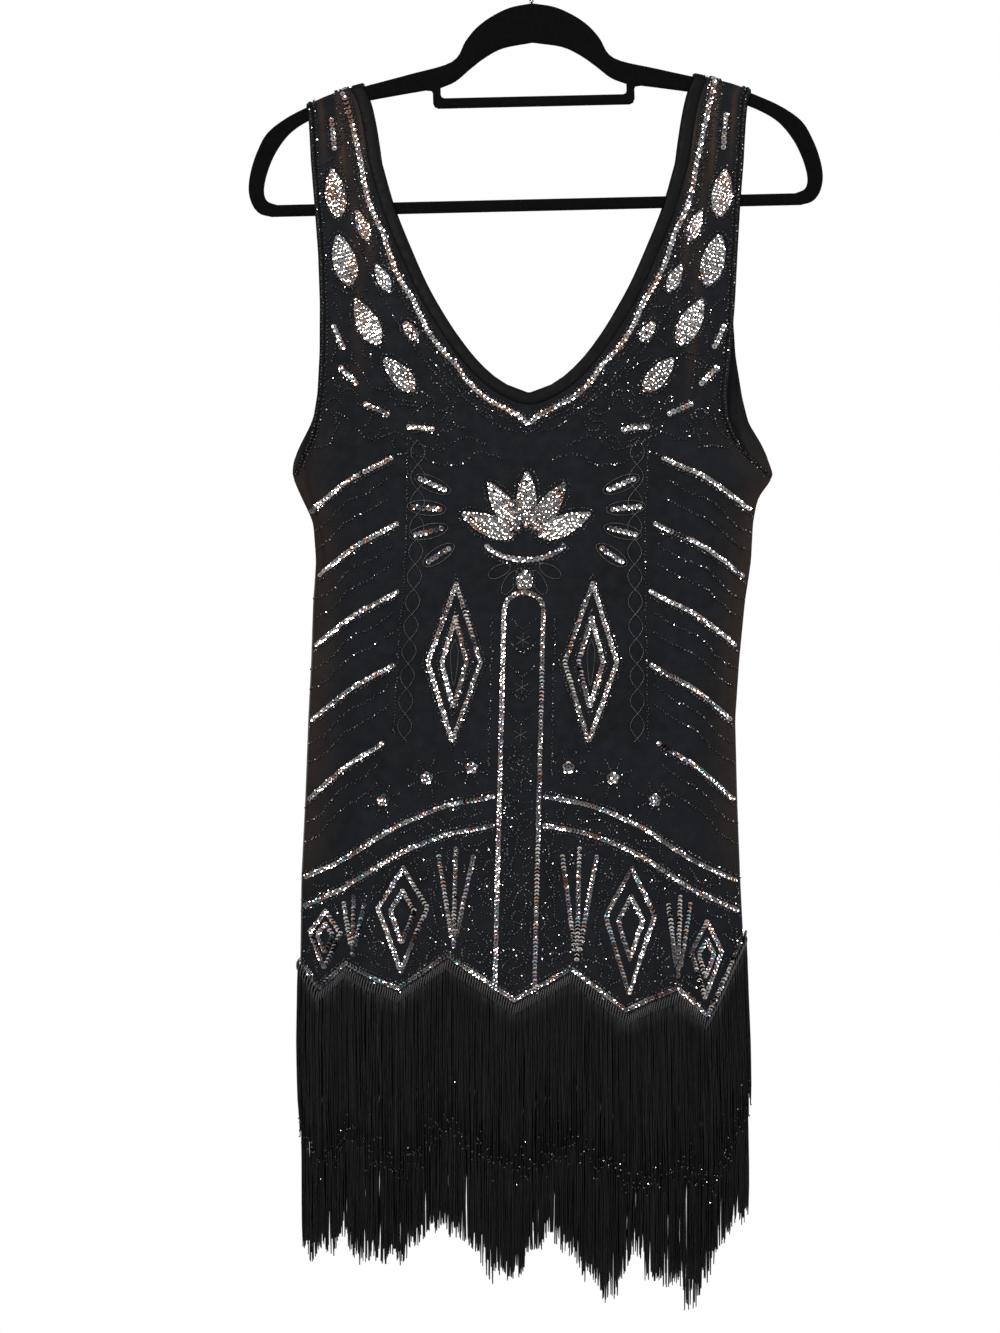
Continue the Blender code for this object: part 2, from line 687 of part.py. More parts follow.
def build_fringe(name, side, tape_face, tape_drop, tip_height, luck):
    """A tier of locks of yarn, fused at their roots into the heading tape that carries them."""
    edges = [0.0]
    for lock in range(LOCKS_IN_A_TIER):
        edges.append((lock + LOCK_GAP_SHARE / 2.0) / LOCKS_IN_A_TIER)
        edges.append((lock + 1.0 - LOCK_GAP_SHARE / 2.0) / LOCKS_IN_A_TIER)
    edges.append(1.0)
    places = even_places(side, edges)
    shape = bmesh.new()

    def corner(across, above_hem, out):
        hand, share = split_across(across)
        height = hem_height(x_at(side, hand, share, HEM_LEVEL)) - tape_drop + above_hem
        return shape.verts.new(skin(side, hand, share, height, out))

    outer = tape_face + TAPE_WALL
    rings = []
    for across in places:
        rings.append([corner(across, TAPE_ABOVE_HEM, outer), corner(across, TAPE_ABOVE_HEM, tape_face),
                      corner(across, -TAPE_BELOW_HEM, tape_face), corner(across, -TAPE_BELOW_HEM, outer)])
    shape.faces.new(rings[0])
    shape.faces.new(rings[-1][::-1])
    for index, (ring, following) in enumerate(zip(rings, rings[1:])):
        is_lock = index % 2 == 1
        for side_index in range(4):
            following_index = (side_index + 1) % 4
            if is_lock and side_index == 2:
                continue
            shape.faces.new([ring[side_index], following[side_index],
                             following[following_index], ring[following_index]])
        if is_lock:
            root = [ring[2], following[2], following[3], ring[3]]
            add_lock(shape, side, root, places[index], places[index + 1], tape_face, tip_height, luck)
    finish_mesh(name, shape, "fringe")


def add_lock(shape, side, root, start, end, tape_face, tip_height, luck):
    """One tapering lock, from its root on the tape to its ragged tip."""
    middle = mix(start, end, 0.5 + luck.uniform(-LOCK_TIP_SWAY, LOCK_TIP_SWAY))
    half = (end - start) * LOCK_TIP_WIDTH_SHARE / 2.0
    ragged = luck.uniform(-LOCK_RAGGEDNESS, LOCK_RAGGEDNESS)
    inner = tape_face + LOCK_TIP_INSET
    outer = tape_face + TAPE_WALL - LOCK_TIP_INSET
    tip = []
    for across, out in ((middle - half, inner), (middle + half, inner),
                        (middle + half, outer), (middle - half, outer)):
        hand, share = split_across(across)
        height = tip_height(x_at(side, hand, share, HEM_LEVEL)) + ragged
        tip.append(shape.verts.new(skin(side, hand, share, height, out)))
    for index in range(4):
        following = (index + 1) % 4
        shape.faces.new([root[index], root[following], tip[following], tip[index]])
    shape.faces.new(tip)


def upper_tip(x):
    """Where the upper fringe ends: a fixed length below the zigzag hem."""
    return hem_height(x) - UPPER_TIER_LENGTH


def lower_tip(x):
    """Where the lower fringe ends."""
    return read_table(FRINGE_ENDS, "height", x, key="x")


def mirrored(half):
    """The left half of an outline, from its far end back to the middle."""
    return [Vector((-point.x, point.y)) for point in reversed(half)]


def add_outline(curve, points):
    """Add one closed outline to a flat curve."""
    spline = curve.splines.new("POLY")
    spline.points.add(len(points) - 1)
    spline.use_cyclic_u = True
    for target, point in zip(spline.points, points):
        target.co = (point.x * METRES, point.y * METRES, 0.0, 1.0)


def build_hanger():
    """The flat velvet hanger: an arch, two arms with end loops, an inner bar and a lower bar."""
    outside = table_path(HANGER_OUTSIDE)
    arch = table_path(ARCH_WINDOW) + [Vector((INNER_BAR_HALF_WIDTH[0], INNER_BAR[0]))]
    main_window = [Vector((INNER_BAR_HALF_WIDTH[1], INNER_BAR[1]))] + table_path(MAIN_WINDOW)
    curve = bpy.data.curves.new("hanger_frame", "CURVE")
    curve.dimensions = "2D"
    curve.fill_mode = "BOTH"
    curve.render_resolution_u = 0
    add_outline(curve, mirrored(outside)[:-1] + outside)
    add_outline(curve, mirrored(arch)[:-1] + arch)
    add_outline(curve, mirrored(main_window) + main_window)
    curve.bevel_depth = HANGER_EDGE_ROUND * METRES
    curve.bevel_resolution = 0
    curve.offset = -HANGER_EDGE_ROUND * METRES
    curve.extrude = (HANGER_THICKNESS / 2.0 - HANGER_EDGE_ROUND) * METRES
    hanger = add_object("hanger_frame", curve, "velvet")
    pivot = Matrix.Translation((0.0, 0.0, ARCH_TOP * METRES))
    tilt = Matrix.Rotation(-HANGER_TILT, 4, "Y")
    upright = Matrix.Rotation(math.radians(90), 4, "X")
    hanger.matrix_world = pivot @ tilt @ pivot.inverted() @ upright


def build_hook():
    """The bent wire hook, whose inner top is the origin."""
    radius = HOOK_INNER_RADIUS + HOOK_WIRE / 2.0
    centre = Vector((0.0, -HOOK_INNER_RADIUS))
    steps = 22
    path = []
    for step in range(steps + 1):
        angle = mix(HOOK_TIP_ANGLE, HOOK_THROAT_ANGLE, step / steps)
        path.append(centre + radius * Vector((math.cos(angle), math.sin(angle))))
    throat = path[-1]
    heading = Vector((math.sin(HOOK_THROAT_ANGLE), -math.cos(HOOK_THROAT_ANGLE)))
    stem_top = Vector((0.0, HOOK_STEM_TOP))
    reach = 10.0
    controls = (throat, throat + heading * reach, stem_top + Vector((0.0, reach)), stem_top)
    for step in range(1, 7):
        t = step / 6.0
        weights = ((1.0 - t) ** 3, 3.0 * t * (1.0 - t) ** 2, 3.0 * t * t * (1.0 - t), t ** 3)
        path.append(sum((point * weight for point, weight in zip(controls, weights)), Vector((0.0, 0.0))))
    path.append(Vector((0.0, ARCH_TOP + SEAM_GAP)))
    curve = bpy.data.curves.new("hook", "CURVE")
    curve.dimensions = "3D"
    curve.render_resolution_u = 0
    curve.bevel_depth = HOOK_WIRE / 2.0 * METRES
    curve.bevel_resolution = 2
    curve.use_fill_caps = True
    spline = curve.splines.new("POLY")
    spline.points.add(len(path) - 1)
    for target, point in zip(spline.points, path):
        target.co = (point.x * METRES, 0.0, point.y * METRES, 1.0)
    add_object("hook", curve, "steel")


def build_dress():
    """Every piece of the dress, front and back."""
    luck = random.Random(SEED)
    for side in (FRONT, BACK):
        build_panel(side)
        build_neck_binding(side)
        for hand in (LEFT, RIGHT):
            build_arm_binding(side, hand)
        build_underskirt(side)
        upper_face = TAPE_GAP
        lower_face = TAPE_GAP - PANEL_WALL - LAYER_GAP
        build_fringe("fringe_upper_" + side.name, side, upper_face, 0.0, upper_tip, luck)
        build_fringe("fringe_lower_" + side.name, side, lower_face, UNDERSKIRT_LENGTH - TAPE_ABOVE_HEM,
                     lower_tip, luck)


def main():
    for piece in list(bpy.data.objects):
        bpy.data.objects.remove(piece, do_unlink=True)
    build_hanger()
    build_hook()
    build_dress()


main()
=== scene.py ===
"""The looks of a beaded flapper dress that hangs on a slim velvet hanger.

Sizes are in millimetres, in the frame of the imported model, and become metres when a mesh is
made. The dress's form repeats the solids' sections, read smoothly, with finer folds. A place
on a panel is given by x and by a height that is measured along the cloth at the shoulder.
"""
import math
from collections import defaultdict, namedtuple
from itertools import combinations, product

import bpy
import numpy as np
from mathutils import Matrix, Vector


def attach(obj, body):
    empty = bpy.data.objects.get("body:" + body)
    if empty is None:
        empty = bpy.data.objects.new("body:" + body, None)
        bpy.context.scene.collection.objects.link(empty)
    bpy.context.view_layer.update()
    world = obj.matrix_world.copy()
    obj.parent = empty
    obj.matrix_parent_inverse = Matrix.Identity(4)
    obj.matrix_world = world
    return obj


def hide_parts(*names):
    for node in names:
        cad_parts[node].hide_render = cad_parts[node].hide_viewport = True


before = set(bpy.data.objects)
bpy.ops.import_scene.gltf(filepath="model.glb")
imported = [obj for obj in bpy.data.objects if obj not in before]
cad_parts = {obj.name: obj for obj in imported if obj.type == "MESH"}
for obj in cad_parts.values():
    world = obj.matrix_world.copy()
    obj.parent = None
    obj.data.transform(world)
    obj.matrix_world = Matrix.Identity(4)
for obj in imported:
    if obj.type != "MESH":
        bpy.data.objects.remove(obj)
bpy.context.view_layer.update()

METRES = 0.001
LEFT, RIGHT = HANDS = (-1, 1)
HAND_WORDS = ("left", "right")

# The photograph's frame: 1000 by 1333 pixels, and where the frame's origin lies in it
PHOTO_SIZE = (1000, 1333)
PHOTO_ORIGIN = (532.0, -106.0)
PIXEL = 0.765
LENS = 45.0
SENSOR = 36.0
CLOTH_PLANE = -15.0

# Cloth
SHELL_WALL = 0.7
SEAM_GAP = 0.3
STRAP_ROLL_RADIUS = 4.8
ROLL_START = -150.0
SLANT_START = -200.0
SECTION_POWER = 2.3
UNDERARM = -444.5
BAND_SHARE = 0.1
CREASE_SHARE = 0.2
HEM_LEVEL = -840.0
HEM_WARP_START = -765.0
HEM_WARP_ROWS = 13
ROW_STEP = 6.5
COLUMN_STEP = 4.6
LOWEST = -1090.0
PANEL_WALL = 1.6
STRAP_ARM_GAP = 0.4
UNDERSKIRT_DEPTH = PANEL_WALL + 0.35
ARM_BAND = 5.0
FOLD_RAMP = 70.0
CREASE_RAMP = 45.0
ROUNDING = 13
NECK_CURVE_STEPS = 12
NECK_POINT_REACH = 80.0
BAND_COLUMNS = 4
FLANK_COLUMNS = 5
END_BULGE = 0.6

# Hanger
HANGER_THICKNESS = 5.0
HANGER_EDGE_ROUND = 1.7
HANGER_TILT = math.radians(1.3)
ARCH_TOP = -78.0
INNER_BAR = (-149.9, -157.4)
INNER_BAR_HALF_WIDTH = (71.9, 78.0)
ARM_SPAN = (90.0, 208.0)

# Hook
HOOK_WIRE = 3.6
HOOK_INNER_RADIUS = 19.0
HOOK_TIP_ANGLE = math.radians(205)
HOOK_THROAT_ANGLE = math.radians(-55)
HOOK_STEM_TOP = -57.0
HOOK_REACH = 10.0

# Bindings
NECK_BINDING_WIDTH = 9.0
NECK_BINDING_REACH = 0.3
NECK_STITCH_INSET = 1.4
ARM_BINDING_WIDTH = 4.0
ARM_BINDING_REACH = 0.2
ARM_STITCH_INSET = 1.0
STITCH_LENGTH = 2.2
STITCH_PITCH = 3.1
STITCH_LIFTS = (1.22, 1.34, 1.22)
STITCH_RADII = (0.1, 0.2, 0.1)
# How far across a band, and how far out from the cloth
BINDING_PROFILE = [(0.0, -0.5), (0.0, 0.35), (0.04, 0.8), (0.12, 1.05), (0.5, 1.12), (0.88, 1.05),
                   (0.96, 0.8), (1.0, 0.35), (1.0, -0.2)]

# Embellishment
SEQUIN_RADIUS = 2.2
SEQUIN_HOLE = 0.68
SEQUIN_CUP = 0.22
SEQUIN_PITCH = 3.7
SEQUIN_LIFT = 0.75
SEQUIN_TILT = math.radians(7)
SEQUIN_SIDES = 9
SEQUIN_MARGIN = 3.4
SEQUIN_CLEARANCE = 3.7
SEQUIN_JITTER = 0.12
ROPE_PITCH = 2.85
ROPE_SCALE = 0.9
ROPE_TILT = math.radians(15)
FILL_STEP = 3.25
FILL_ROW = FILL_STEP * 0.87
FILL_MARGIN = 1.2
FILL_SCALE = 0.86
FILL_LIFTS = (0.0, 0.35)
FILL_TILTS = (0.6, 1.3)
LEAF_BLUNT = 0.62
LEAF_FULLNESS = 0.7
RIM_GAPS = (2.6, 2.4)
BEAD_RADIUS = 0.95
BEAD_PITCH = 2.5
BEAD_LIFT = 0.75
BEAD_MARGIN = 1.2
BEAD_SCALES = (0.8, 1.15)
BEAD_CLEARANCE = 2.4
STRING_SHORTEST = 4
STRING_LONGEST = 26
STRING_CLEARANCE = 2.2
STRING_PITCH = BEAD_PITCH * 0.95
STRING_BENDS = (0.35, 0.45)
STRING_TURN_CHANCE = 0.22
STRING_JITTER = 0.2
CORD_RADIUS = 0.72
CORD_LIFT = 0.45
CORD_CLEARANCE = 2.0
STITCH_STEP = 1.15
SCALLOPS = 5
SCALLOP_DEPTH = 2.6
LINE_PITCH = 2.0
# The map, a millimetre a cell, of what is already sewn on
GRID_LOW = (-230.0, -900.0)
GRID_SIZE = (470, 780)
FRONT_SEED = 1926
BACK_SEED = 1927
PALETTE = {
    "silver": (0.65, 0.62, 0.59),
    "rose": (0.60, 0.44, 0.37),
    "copper": (0.52, 0.31, 0.22),
    "lilac": (0.48, 0.42, 0.49),
    "teal": (0.37, 0.52, 0.52),
    "smoke": (0.22, 0.21, 0.23),
}

# Fringe
UPPER_TIER_LENGTH = 124.0
UNDERSKIRT_LENGTH = 88.0
YARNS_IN_A_TIER = 540
YARN_RADIUS = 0.68
YARN_STEPS = 9
CLUMP_SIZE = 7
YARN_MARGIN = 0.4
YARN_SCATTER = 0.25
YARN_THICKNESSES = (0.85, 1.15)
YARN_TAPER = (0.97, 0.6)
YARN_LIFTS = (-0.6, 0.9)
YARN_BOW = 1.3
WAVER = 0.35
WAVER_TURNS = (4.0, 9.0)
WAVER_STARTS = (0.0, 6.0)
CLUMP_MIXING = 0.4
CLUMP_SWAY = 0.0016
CLUMP_LIFT = 0.5
TIP_SWAY = 0.0012
FRINGE_LIFT = 1.3
GATHERING = 0.14
CLUMP_SCATTER = 3.5
SHORT_SHARE = 0.06
SHORTENING = (6.0, 28.0)
KNOT_RADIUS = 0.66
KNOT_SHARE = 0.8
KNOT_SCALES = (0.7, 1.2)
HEADING_RIBS = 195
# Rise over the hem, shift, lift and radius at four points of a rib
HEADING_RIB = [(5.4, 0.9, 0.5, 0.4), (3.0, 0.3, 1.35, 0.6), (0.0, -0.3, 1.35, 0.6), (-2.6, -0.6, 0.9, 0.5)]

# Floor of the stage, in metres
FLOOR_RADIUS = 0.62
FLOOR_HEIGHT = -1.36
FLOOR_SIDES = 96

Spot = namedtuple("Spot", "x height")


def table(kind, *rows):
    """A table whose rows have named columns."""
    return [kind(*row) for row in rows]


Section = namedtuple("Section", "height left left_crease right_crease right depth edge_depth")
FRONT_SECTIONS = table(
    Section,
    (-150.0, -173.7, -167.5, 162.2, 169.1, 4.8, 4.8),
    (-165.0, -172.9, -166.8, 159.9, 166.8, 4.8, 4.8),
    (-196.0, -170.6, -164.5, 156.8, 163.7, 4.8, 4.8),
    (-234.0, -167.5, -161.4, 153.8, 160.7, 5.2, 4.8),
    (-272.0, -164.5, -158.4, 151.5, 158.4, 8.0, 5.4),
    (-311.0, -162.9, -156.8, 149.2, 156.1, 12.0, 6.2),
    (-349.0, -162.9, -156.8, 146.1, 153.0, 15.5, 6.6),
    (-381.0, -164.5, -158.4, 142.3, 149.2, 18.0, 6.2),
    (-399.0, -167.5, -161.4, 141.5, 150.7, 18.5, 5.4),
    (-414.0, -170.6, -165.2, 143.1, 157.6, 19.0, 4.4),
    (-429.0, -178.2, -169.1, 144.6, 168.3, 19.5, 3.0),
    (-444.5, -185.1, -169.1, 145.3, 187.4, 20.0, 0.15),
    (-460.0, -178.2, -168.3, 145.3, 175.2, 20.0, 0.15),
    (-479.0, -169.1, -163.7, 145.3, 171.4, 20.0, 0.15),
    (-510.0, -166.8, -158.4, 145.3, 169.8, 20.0, 0.15),
    (-540.0, -169.1, -159.9, 145.3, 165.2, 20.0, 0.15),
    (-586.0, -170.6, -160.7, 146.1, 160.7, 20.5, 0.15),
    (-632.0, -172.9, -162.9, 147.6, 157.6, 20.5, 0.15),
    (-693.0, -175.2, -165.2, 149.2, 159.1, 21.0, 0.15),
    (-754.0, -178.2, -168.3, 151.5, 161.4, 21.5, 0.15),
    (-815.0, -179.0, -169.1, 153.8, 164.5, 22.0, 0.15),
    (-877.0, -179.8, -169.8, 156.1, 166.8, 22.0, 0.15),
    (-976.0, -177.5, -168.3, 157.6, 167.5, 21.5, 0.15),
    (-1085.0, -177.0, -168.0, 157.0, 167.0, 21.0, 0.15),
)
BACK_SECTIONS = table(
    Section,
    (-150.0, -173.7, -166.0, 161.5, 169.1, 4.8, 4.8),
    (-196.0, -170.6, -163.0, 156.0, 163.7, 4.8, 4.8),
    (-234.0, -167.5, -160.0, 153.0, 160.7, 5.2, 4.8),
    (-272.0, -164.5, -157.0, 150.5, 158.4, 7.5, 5.4),
    (-311.0, -162.9, -155.0, 148.0, 156.1, 9.5, 6.0),
    (-349.0, -162.9, -155.0, 149.0, 158.4, 11.5, 6.0),
    (-383.0, -165.2, -156.5, 152.5, 163.7, 13.0, 5.6),
    (-402.0, -170.6, -159.0, 154.0, 168.3, 14.0, 4.8),
    (-418.0, -178.2, -160.5, 155.0, 177.5, 14.5, 3.8),
    (-433.0, -184.4, -161.0, 155.5, 183.6, 15.0, 2.2),
    (-444.5, -185.1, -161.0, 155.5, 187.4, 15.0, 0.15),
    (-460.0, -178.2, -160.0, 155.0, 175.2, 15.5, 0.15),
    (-479.0, -169.1, -156.0, 154.0, 171.4, 15.5, 0.15),
    (-510.0, -166.8, -153.5, 153.0, 169.8, 16.0, 0.15),
    (-540.0, -169.1, -154.5, 150.5, 165.2, 16.0, 0.15),
    (-586.0, -170.6, -156.5, 147.0, 160.7, 16.5, 0.15),
    (-632.0, -172.9, -160.0, 146.5, 157.6, 16.5, 0.15),
    (-693.0, -175.2, -163.5, 148.5, 159.1, 17.0, 0.15),
    (-754.0, -178.2, -167.5, 151.0, 161.4, 17.5, 0.15),
    (-815.0, -179.0, -169.1, 153.8, 164.5, 18.0, 0.15),
    (-877.0, -179.8, -169.8, 156.1, 166.8, 18.0, 0.15),
    (-976.0, -177.5, -168.3, 157.6, 167.5, 17.5, 0.15),
    (-1085.0, -177.0, -168.0, 157.0, 167.0, 17.0, 0.15),
)

NECK = table(
    Spot,
    (127.8, -148.4), (121.3, -172.9), (112.9, -203.5), (104.0, -234.1), (91.8, -264.7),
    (78.0, -295.3), (60.4, -325.9), (44.0, -348.8), (29.5, -364.1), (14.0, -374.5), (0.0, -379.0),
)

CENTRE_LINE = table(
    Spot,
    (-2.3, -379.0), (-13.8, -853.0), (-15.0, -1085.0),
)

# Corners of the zigzag hem, and where the lower fringe ends, as x and height
HEM = np.array([
    (-179.5, -821.6), (-163.7, -846.1), (-142.3, -826.2), (-102.5, -845.3), (-64.3, -818.6),
    (-13.8, -853.0), (29.8, -829.3), (71.9, -861.4), (110.2, -843.8), (134.6, -866.7),
    (165.4, -800.2),
])
FRINGE_ENDS = np.array([
    (-178.0, -1036.0), (-169.0, -1041.0), (-146.9, -1027.0), (-108.6, -1050.0), (-70.4, -1014.0),
    (-16.8, -1058.0), (15.3, -1018.0), (58.1, -1076.0), (78.0, -1038.0), (121.6, -1075.0),
    (154.5, -1020.0), (167.0, -1010.0),
])

# The solids' folds come first in each table, then the finer ones that only the looks have
Fold = namedtuple("Fold", "top_x low_x top low rise half_width")
FRONT_FOLDS = table(
    Fold,
    (-137.0, -111.0, -395.0, -1285.0, 3.6, 17.0),
    (-112.0, -84.0, -455.0, -1285.0, -3.0, 18.0),
    (-52.0, -48.0, -640.0, -1285.0, 2.4, 20.0),
    (26.0, 20.0, -600.0, -1200.0, -2.2, 22.0),
    (103.0, 58.0, -440.0, -1285.0, -2.6, 18.0),
    (129.0, 86.0, -380.0, -1285.0, 4.4, 19.0),
    (-148.0, -146.0, -780.0, -1285.0, -2.2, 12.0),
    (128.0, 130.0, -800.0, -1285.0, -2.6, 14.0),
    (-150.0, -140.0, -420.0, -620.0, 0.9, 7.0),
    (-126.0, -118.0, -470.0, -700.0, -0.8, 8.0),
    (118.0, 108.0, -410.0, -640.0, -0.9, 8.0),
    (136.0, 128.0, -430.0, -760.0, 0.9, 7.0),
    (-30.0, -34.0, -700.0, -850.0, -0.7, 9.0),
    (52.0, 46.0, -660.0, -850.0, 0.8, 10.0),
    (-141.0, -146.0, -190.0, -330.0, -0.7, 7.0),
    (136.0, 128.0, -190.0, -340.0, 0.7, 7.0),
)
BACK_FOLDS = table(
    Fold,
    (-126.0, -98.0, -410.0, -1285.0, 3.4, 18.0),
    (-100.0, -62.0, -500.0, -1285.0, -2.6, 20.0),
    (-12.0, -24.0, -560.0, -1240.0, 2.6, 24.0),
    (44.0, 34.0, -660.0, -1285.0, -2.4, 20.0),
    (112.0, 84.0, -430.0, -1285.0, 4.0, 19.0),
    (128.0, 118.0, -690.0, -1285.0, -2.6, 16.0),
    (-138.0, -130.0, -420.0, -640.0, -0.9, 8.0),
    (-70.0, -76.0, -470.0, -720.0, 0.9, 10.0),
    (66.0, 60.0, -440.0, -690.0, -0.8, 9.0),
    (130.0, 124.0, -450.0, -660.0, 0.9, 8.0),
    (16.0, 10.0, -640.0, -850.0, 0.7, 9.0),
)

Crease = namedtuple("Crease", "hand top low depth")
FRONT_CREASES = [Crease(LEFT, -395.0, -540.0, 5.0), Crease(RIGHT, -388.0, -680.0, 6.0)]
BACK_CREASES = [Crease(LEFT, -400.0, -600.0, 5.5), Crease(RIGHT, -400.0, -560.0, 4.0)]

# Where the net is warm brown: a painted highlight along the flanks, where the cloth rolls round, and long
# streaks of the straps at an inset from the edge, where the net is stretched thin
# The flanks' painted highlight: its strength, how far in from the edge it reaches, and its heights
FLANK_PAINTED_HIGHLIGHT = 0.55
FLANK_HIGHLIGHT_REACH = 30.0
FLANK_HIGHLIGHT_WINDOW = (-380.0, -790.0, 90.0)
STREAK_TOP = -120.0
STREAK_RAMP = 40.0
Streak = namedtuple("Streak", "inset low width weight")
STREAKS = table(
    Streak,
    (24.0, -235.0, 2.6, 1.0),
    (40.0, -300.0, 3.2, 0.7),
    (10.0, -215.0, 2.2, 0.7),
    (30.0, -395.0, 4.0, 0.35),
)

HANGER_OUTSIDE = table(
    Spot,
    (0.0, -78.0), (17.2, -81.1), (32.1, -88.0), (43.6, -96.4), (52.0, -106.3), (62.7, -121.8),
    (95.6, -130.8), (128.5, -138.8), (153.0, -145.3), (172.1, -153.0), (191.2, -162.2),
    (206.6, -173.7), (215.0, -188.2), (220.3, -203.5), (222.2, -217.3), (219.8, -228.5),
    (214.0, -235.6), (205.0, -238.3),
)
ARCH_WINDOW = table(
    Spot,
    (0.0, -107.9), (22.6, -111.7), (36.7, -118.6), (48.2, -127.0), (60.0, -136.5), (71.9, -141.5),
)
MAIN_WINDOW = table(
    Spot,
    (78.0, -142.3), (104.8, -146.3), (131.6, -150.8), (156.8, -157.3), (176.0, -165.2),
    (189.7, -174.4), (200.4, -188.2), (207.3, -203.5), (210.4, -217.5), (208.1, -226.0),
    (200.4, -229.5),
)


# Small helpers

def mix(first, last, share):
    """The value that lies a share of the way from the first to the last."""
    return first + (last - first) * share


def eased(share):
    """A share kept between nought and one, level at both ends."""
    share = np.clip(share, 0.0, 1.0)
    return share * share * (3.0 - 2.0 * share)


def soft_window(height, top, low, ramp):
    """One between two heights and nought beyond them, with soft ends."""
    return eased(np.minimum(top - height, height - low) / ramp)


def unit(vectors):
    """Vectors made one long."""
    return vectors / np.maximum(np.linalg.norm(vectors, axis=-1, keepdims=True), 1e-9)


def table_column(rows, name):
    """A column of a table as an array."""
    return np.array([getattr(row, name) for row in rows])


def smooth_path(points, steps):
    """A smooth line through points, each stretch in a few steps."""
    points = [np.array(point, float) for point in points]
    ends = [points[0] * 2.0 - points[1]] + points + [points[-1] * 2.0 - points[-2]]
    path = []
    for before, start, end, after in zip(ends, ends[1:], ends[2:], ends[3:]):
        for step in range(steps):
            t = step / steps
            path.append(0.5 * (2.0 * start + (end - before) * t
                               + (2.0 * before - 5.0 * start + 4.0 * end - after) * t * t
                               + (3.0 * start - before - 3.0 * end + after) * t ** 3))
    return np.array(path + [points[-1]])


def lengths_along(points):
    """The length along a line up to each of its points."""
    return np.concatenate([[0.0], np.cumsum(np.linalg.norm(np.diff(points, axis=0), axis=1))])


def even_marks(along, pitch):
    """Lengths about a pitch apart that divide a line evenly."""
    return np.linspace(0.0, along[-1], max(int(round(along[-1] / pitch)), 1) + 1)


def read_line(marks, along, points):
    """A line's points at given lengths along it."""
    return np.stack([np.interp(marks, along, column) for column in points.T], axis=1)


def resample(points, pitch):
    """Points about a pitch apart along a line, and the line's heading at each."""
    points = np.array(points, float)
    along = lengths_along(points)
    marks = even_marks(along, pitch)
    reach = 0.4 * pitch
    ahead = read_line(marks + reach, along, points) - read_line(marks - reach, along, points)
    return read_line(marks, along, points), unit(ahead)


def to_the_right(heading):
    """Directions square to a line's headings, on its right."""
    return np.stack([heading[:, 1], -heading[:, 0]], axis=1)


# The hanger's arms, which carry the straps

def tilted(points):
    """Points of the hanger after its tilt about the top of the arch."""
    pivot = np.array([0.0, ARCH_TOP])
    cosine, sine = math.cos(HANGER_TILT), math.sin(HANGER_TILT)
    turn = np.array([[cosine, -sine], [sine, cosine]])
    return pivot + (points - pivot) @ turn.T


def hanger_arm_line(hand):
    """Distances from the middle and heights along the upper edge of one tilted arm."""
    path = tilted(smooth_path(HANGER_OUTSIDE, 2) * (hand, 1.0))
    reach = np.abs(path[:, 0])
    keep = (reach > ARM_SPAN[0]) & (reach < ARM_SPAN[1])
    return reach[keep], path[keep, 1]


ARMS = {hand: hanger_arm_line(hand) for hand in HANDS}


def roll_centre(x):
    """Height of the axis that a strap rolls round, over the arm of the hanger."""
    top = np.where(x < 0.0, *(np.interp(np.abs(x), *ARMS[hand]) for hand in HANDS))
    return top + STRAP_ARM_GAP - (STRAP_ROLL_RADIUS - PANEL_WALL)


# The form of the cloth

HEIGHTS = np.arange(LOWEST, ROLL_START + 20.5, 1.0)


def dense_column(rows, name):
    """A table's column at every millimetre of height, with its corners rounded."""
    heights = table_column(rows, "height")[::-1]
    values = np.interp(HEIGHTS, heights, table_column(rows, name)[::-1])
    kernel = np.hanning(ROUNDING + 2)[1:-1]
    padded = np.pad(values, ROUNDING // 2, mode="edge")
    return np.convolve(padded, kernel / kernel.sum(), mode="valid")


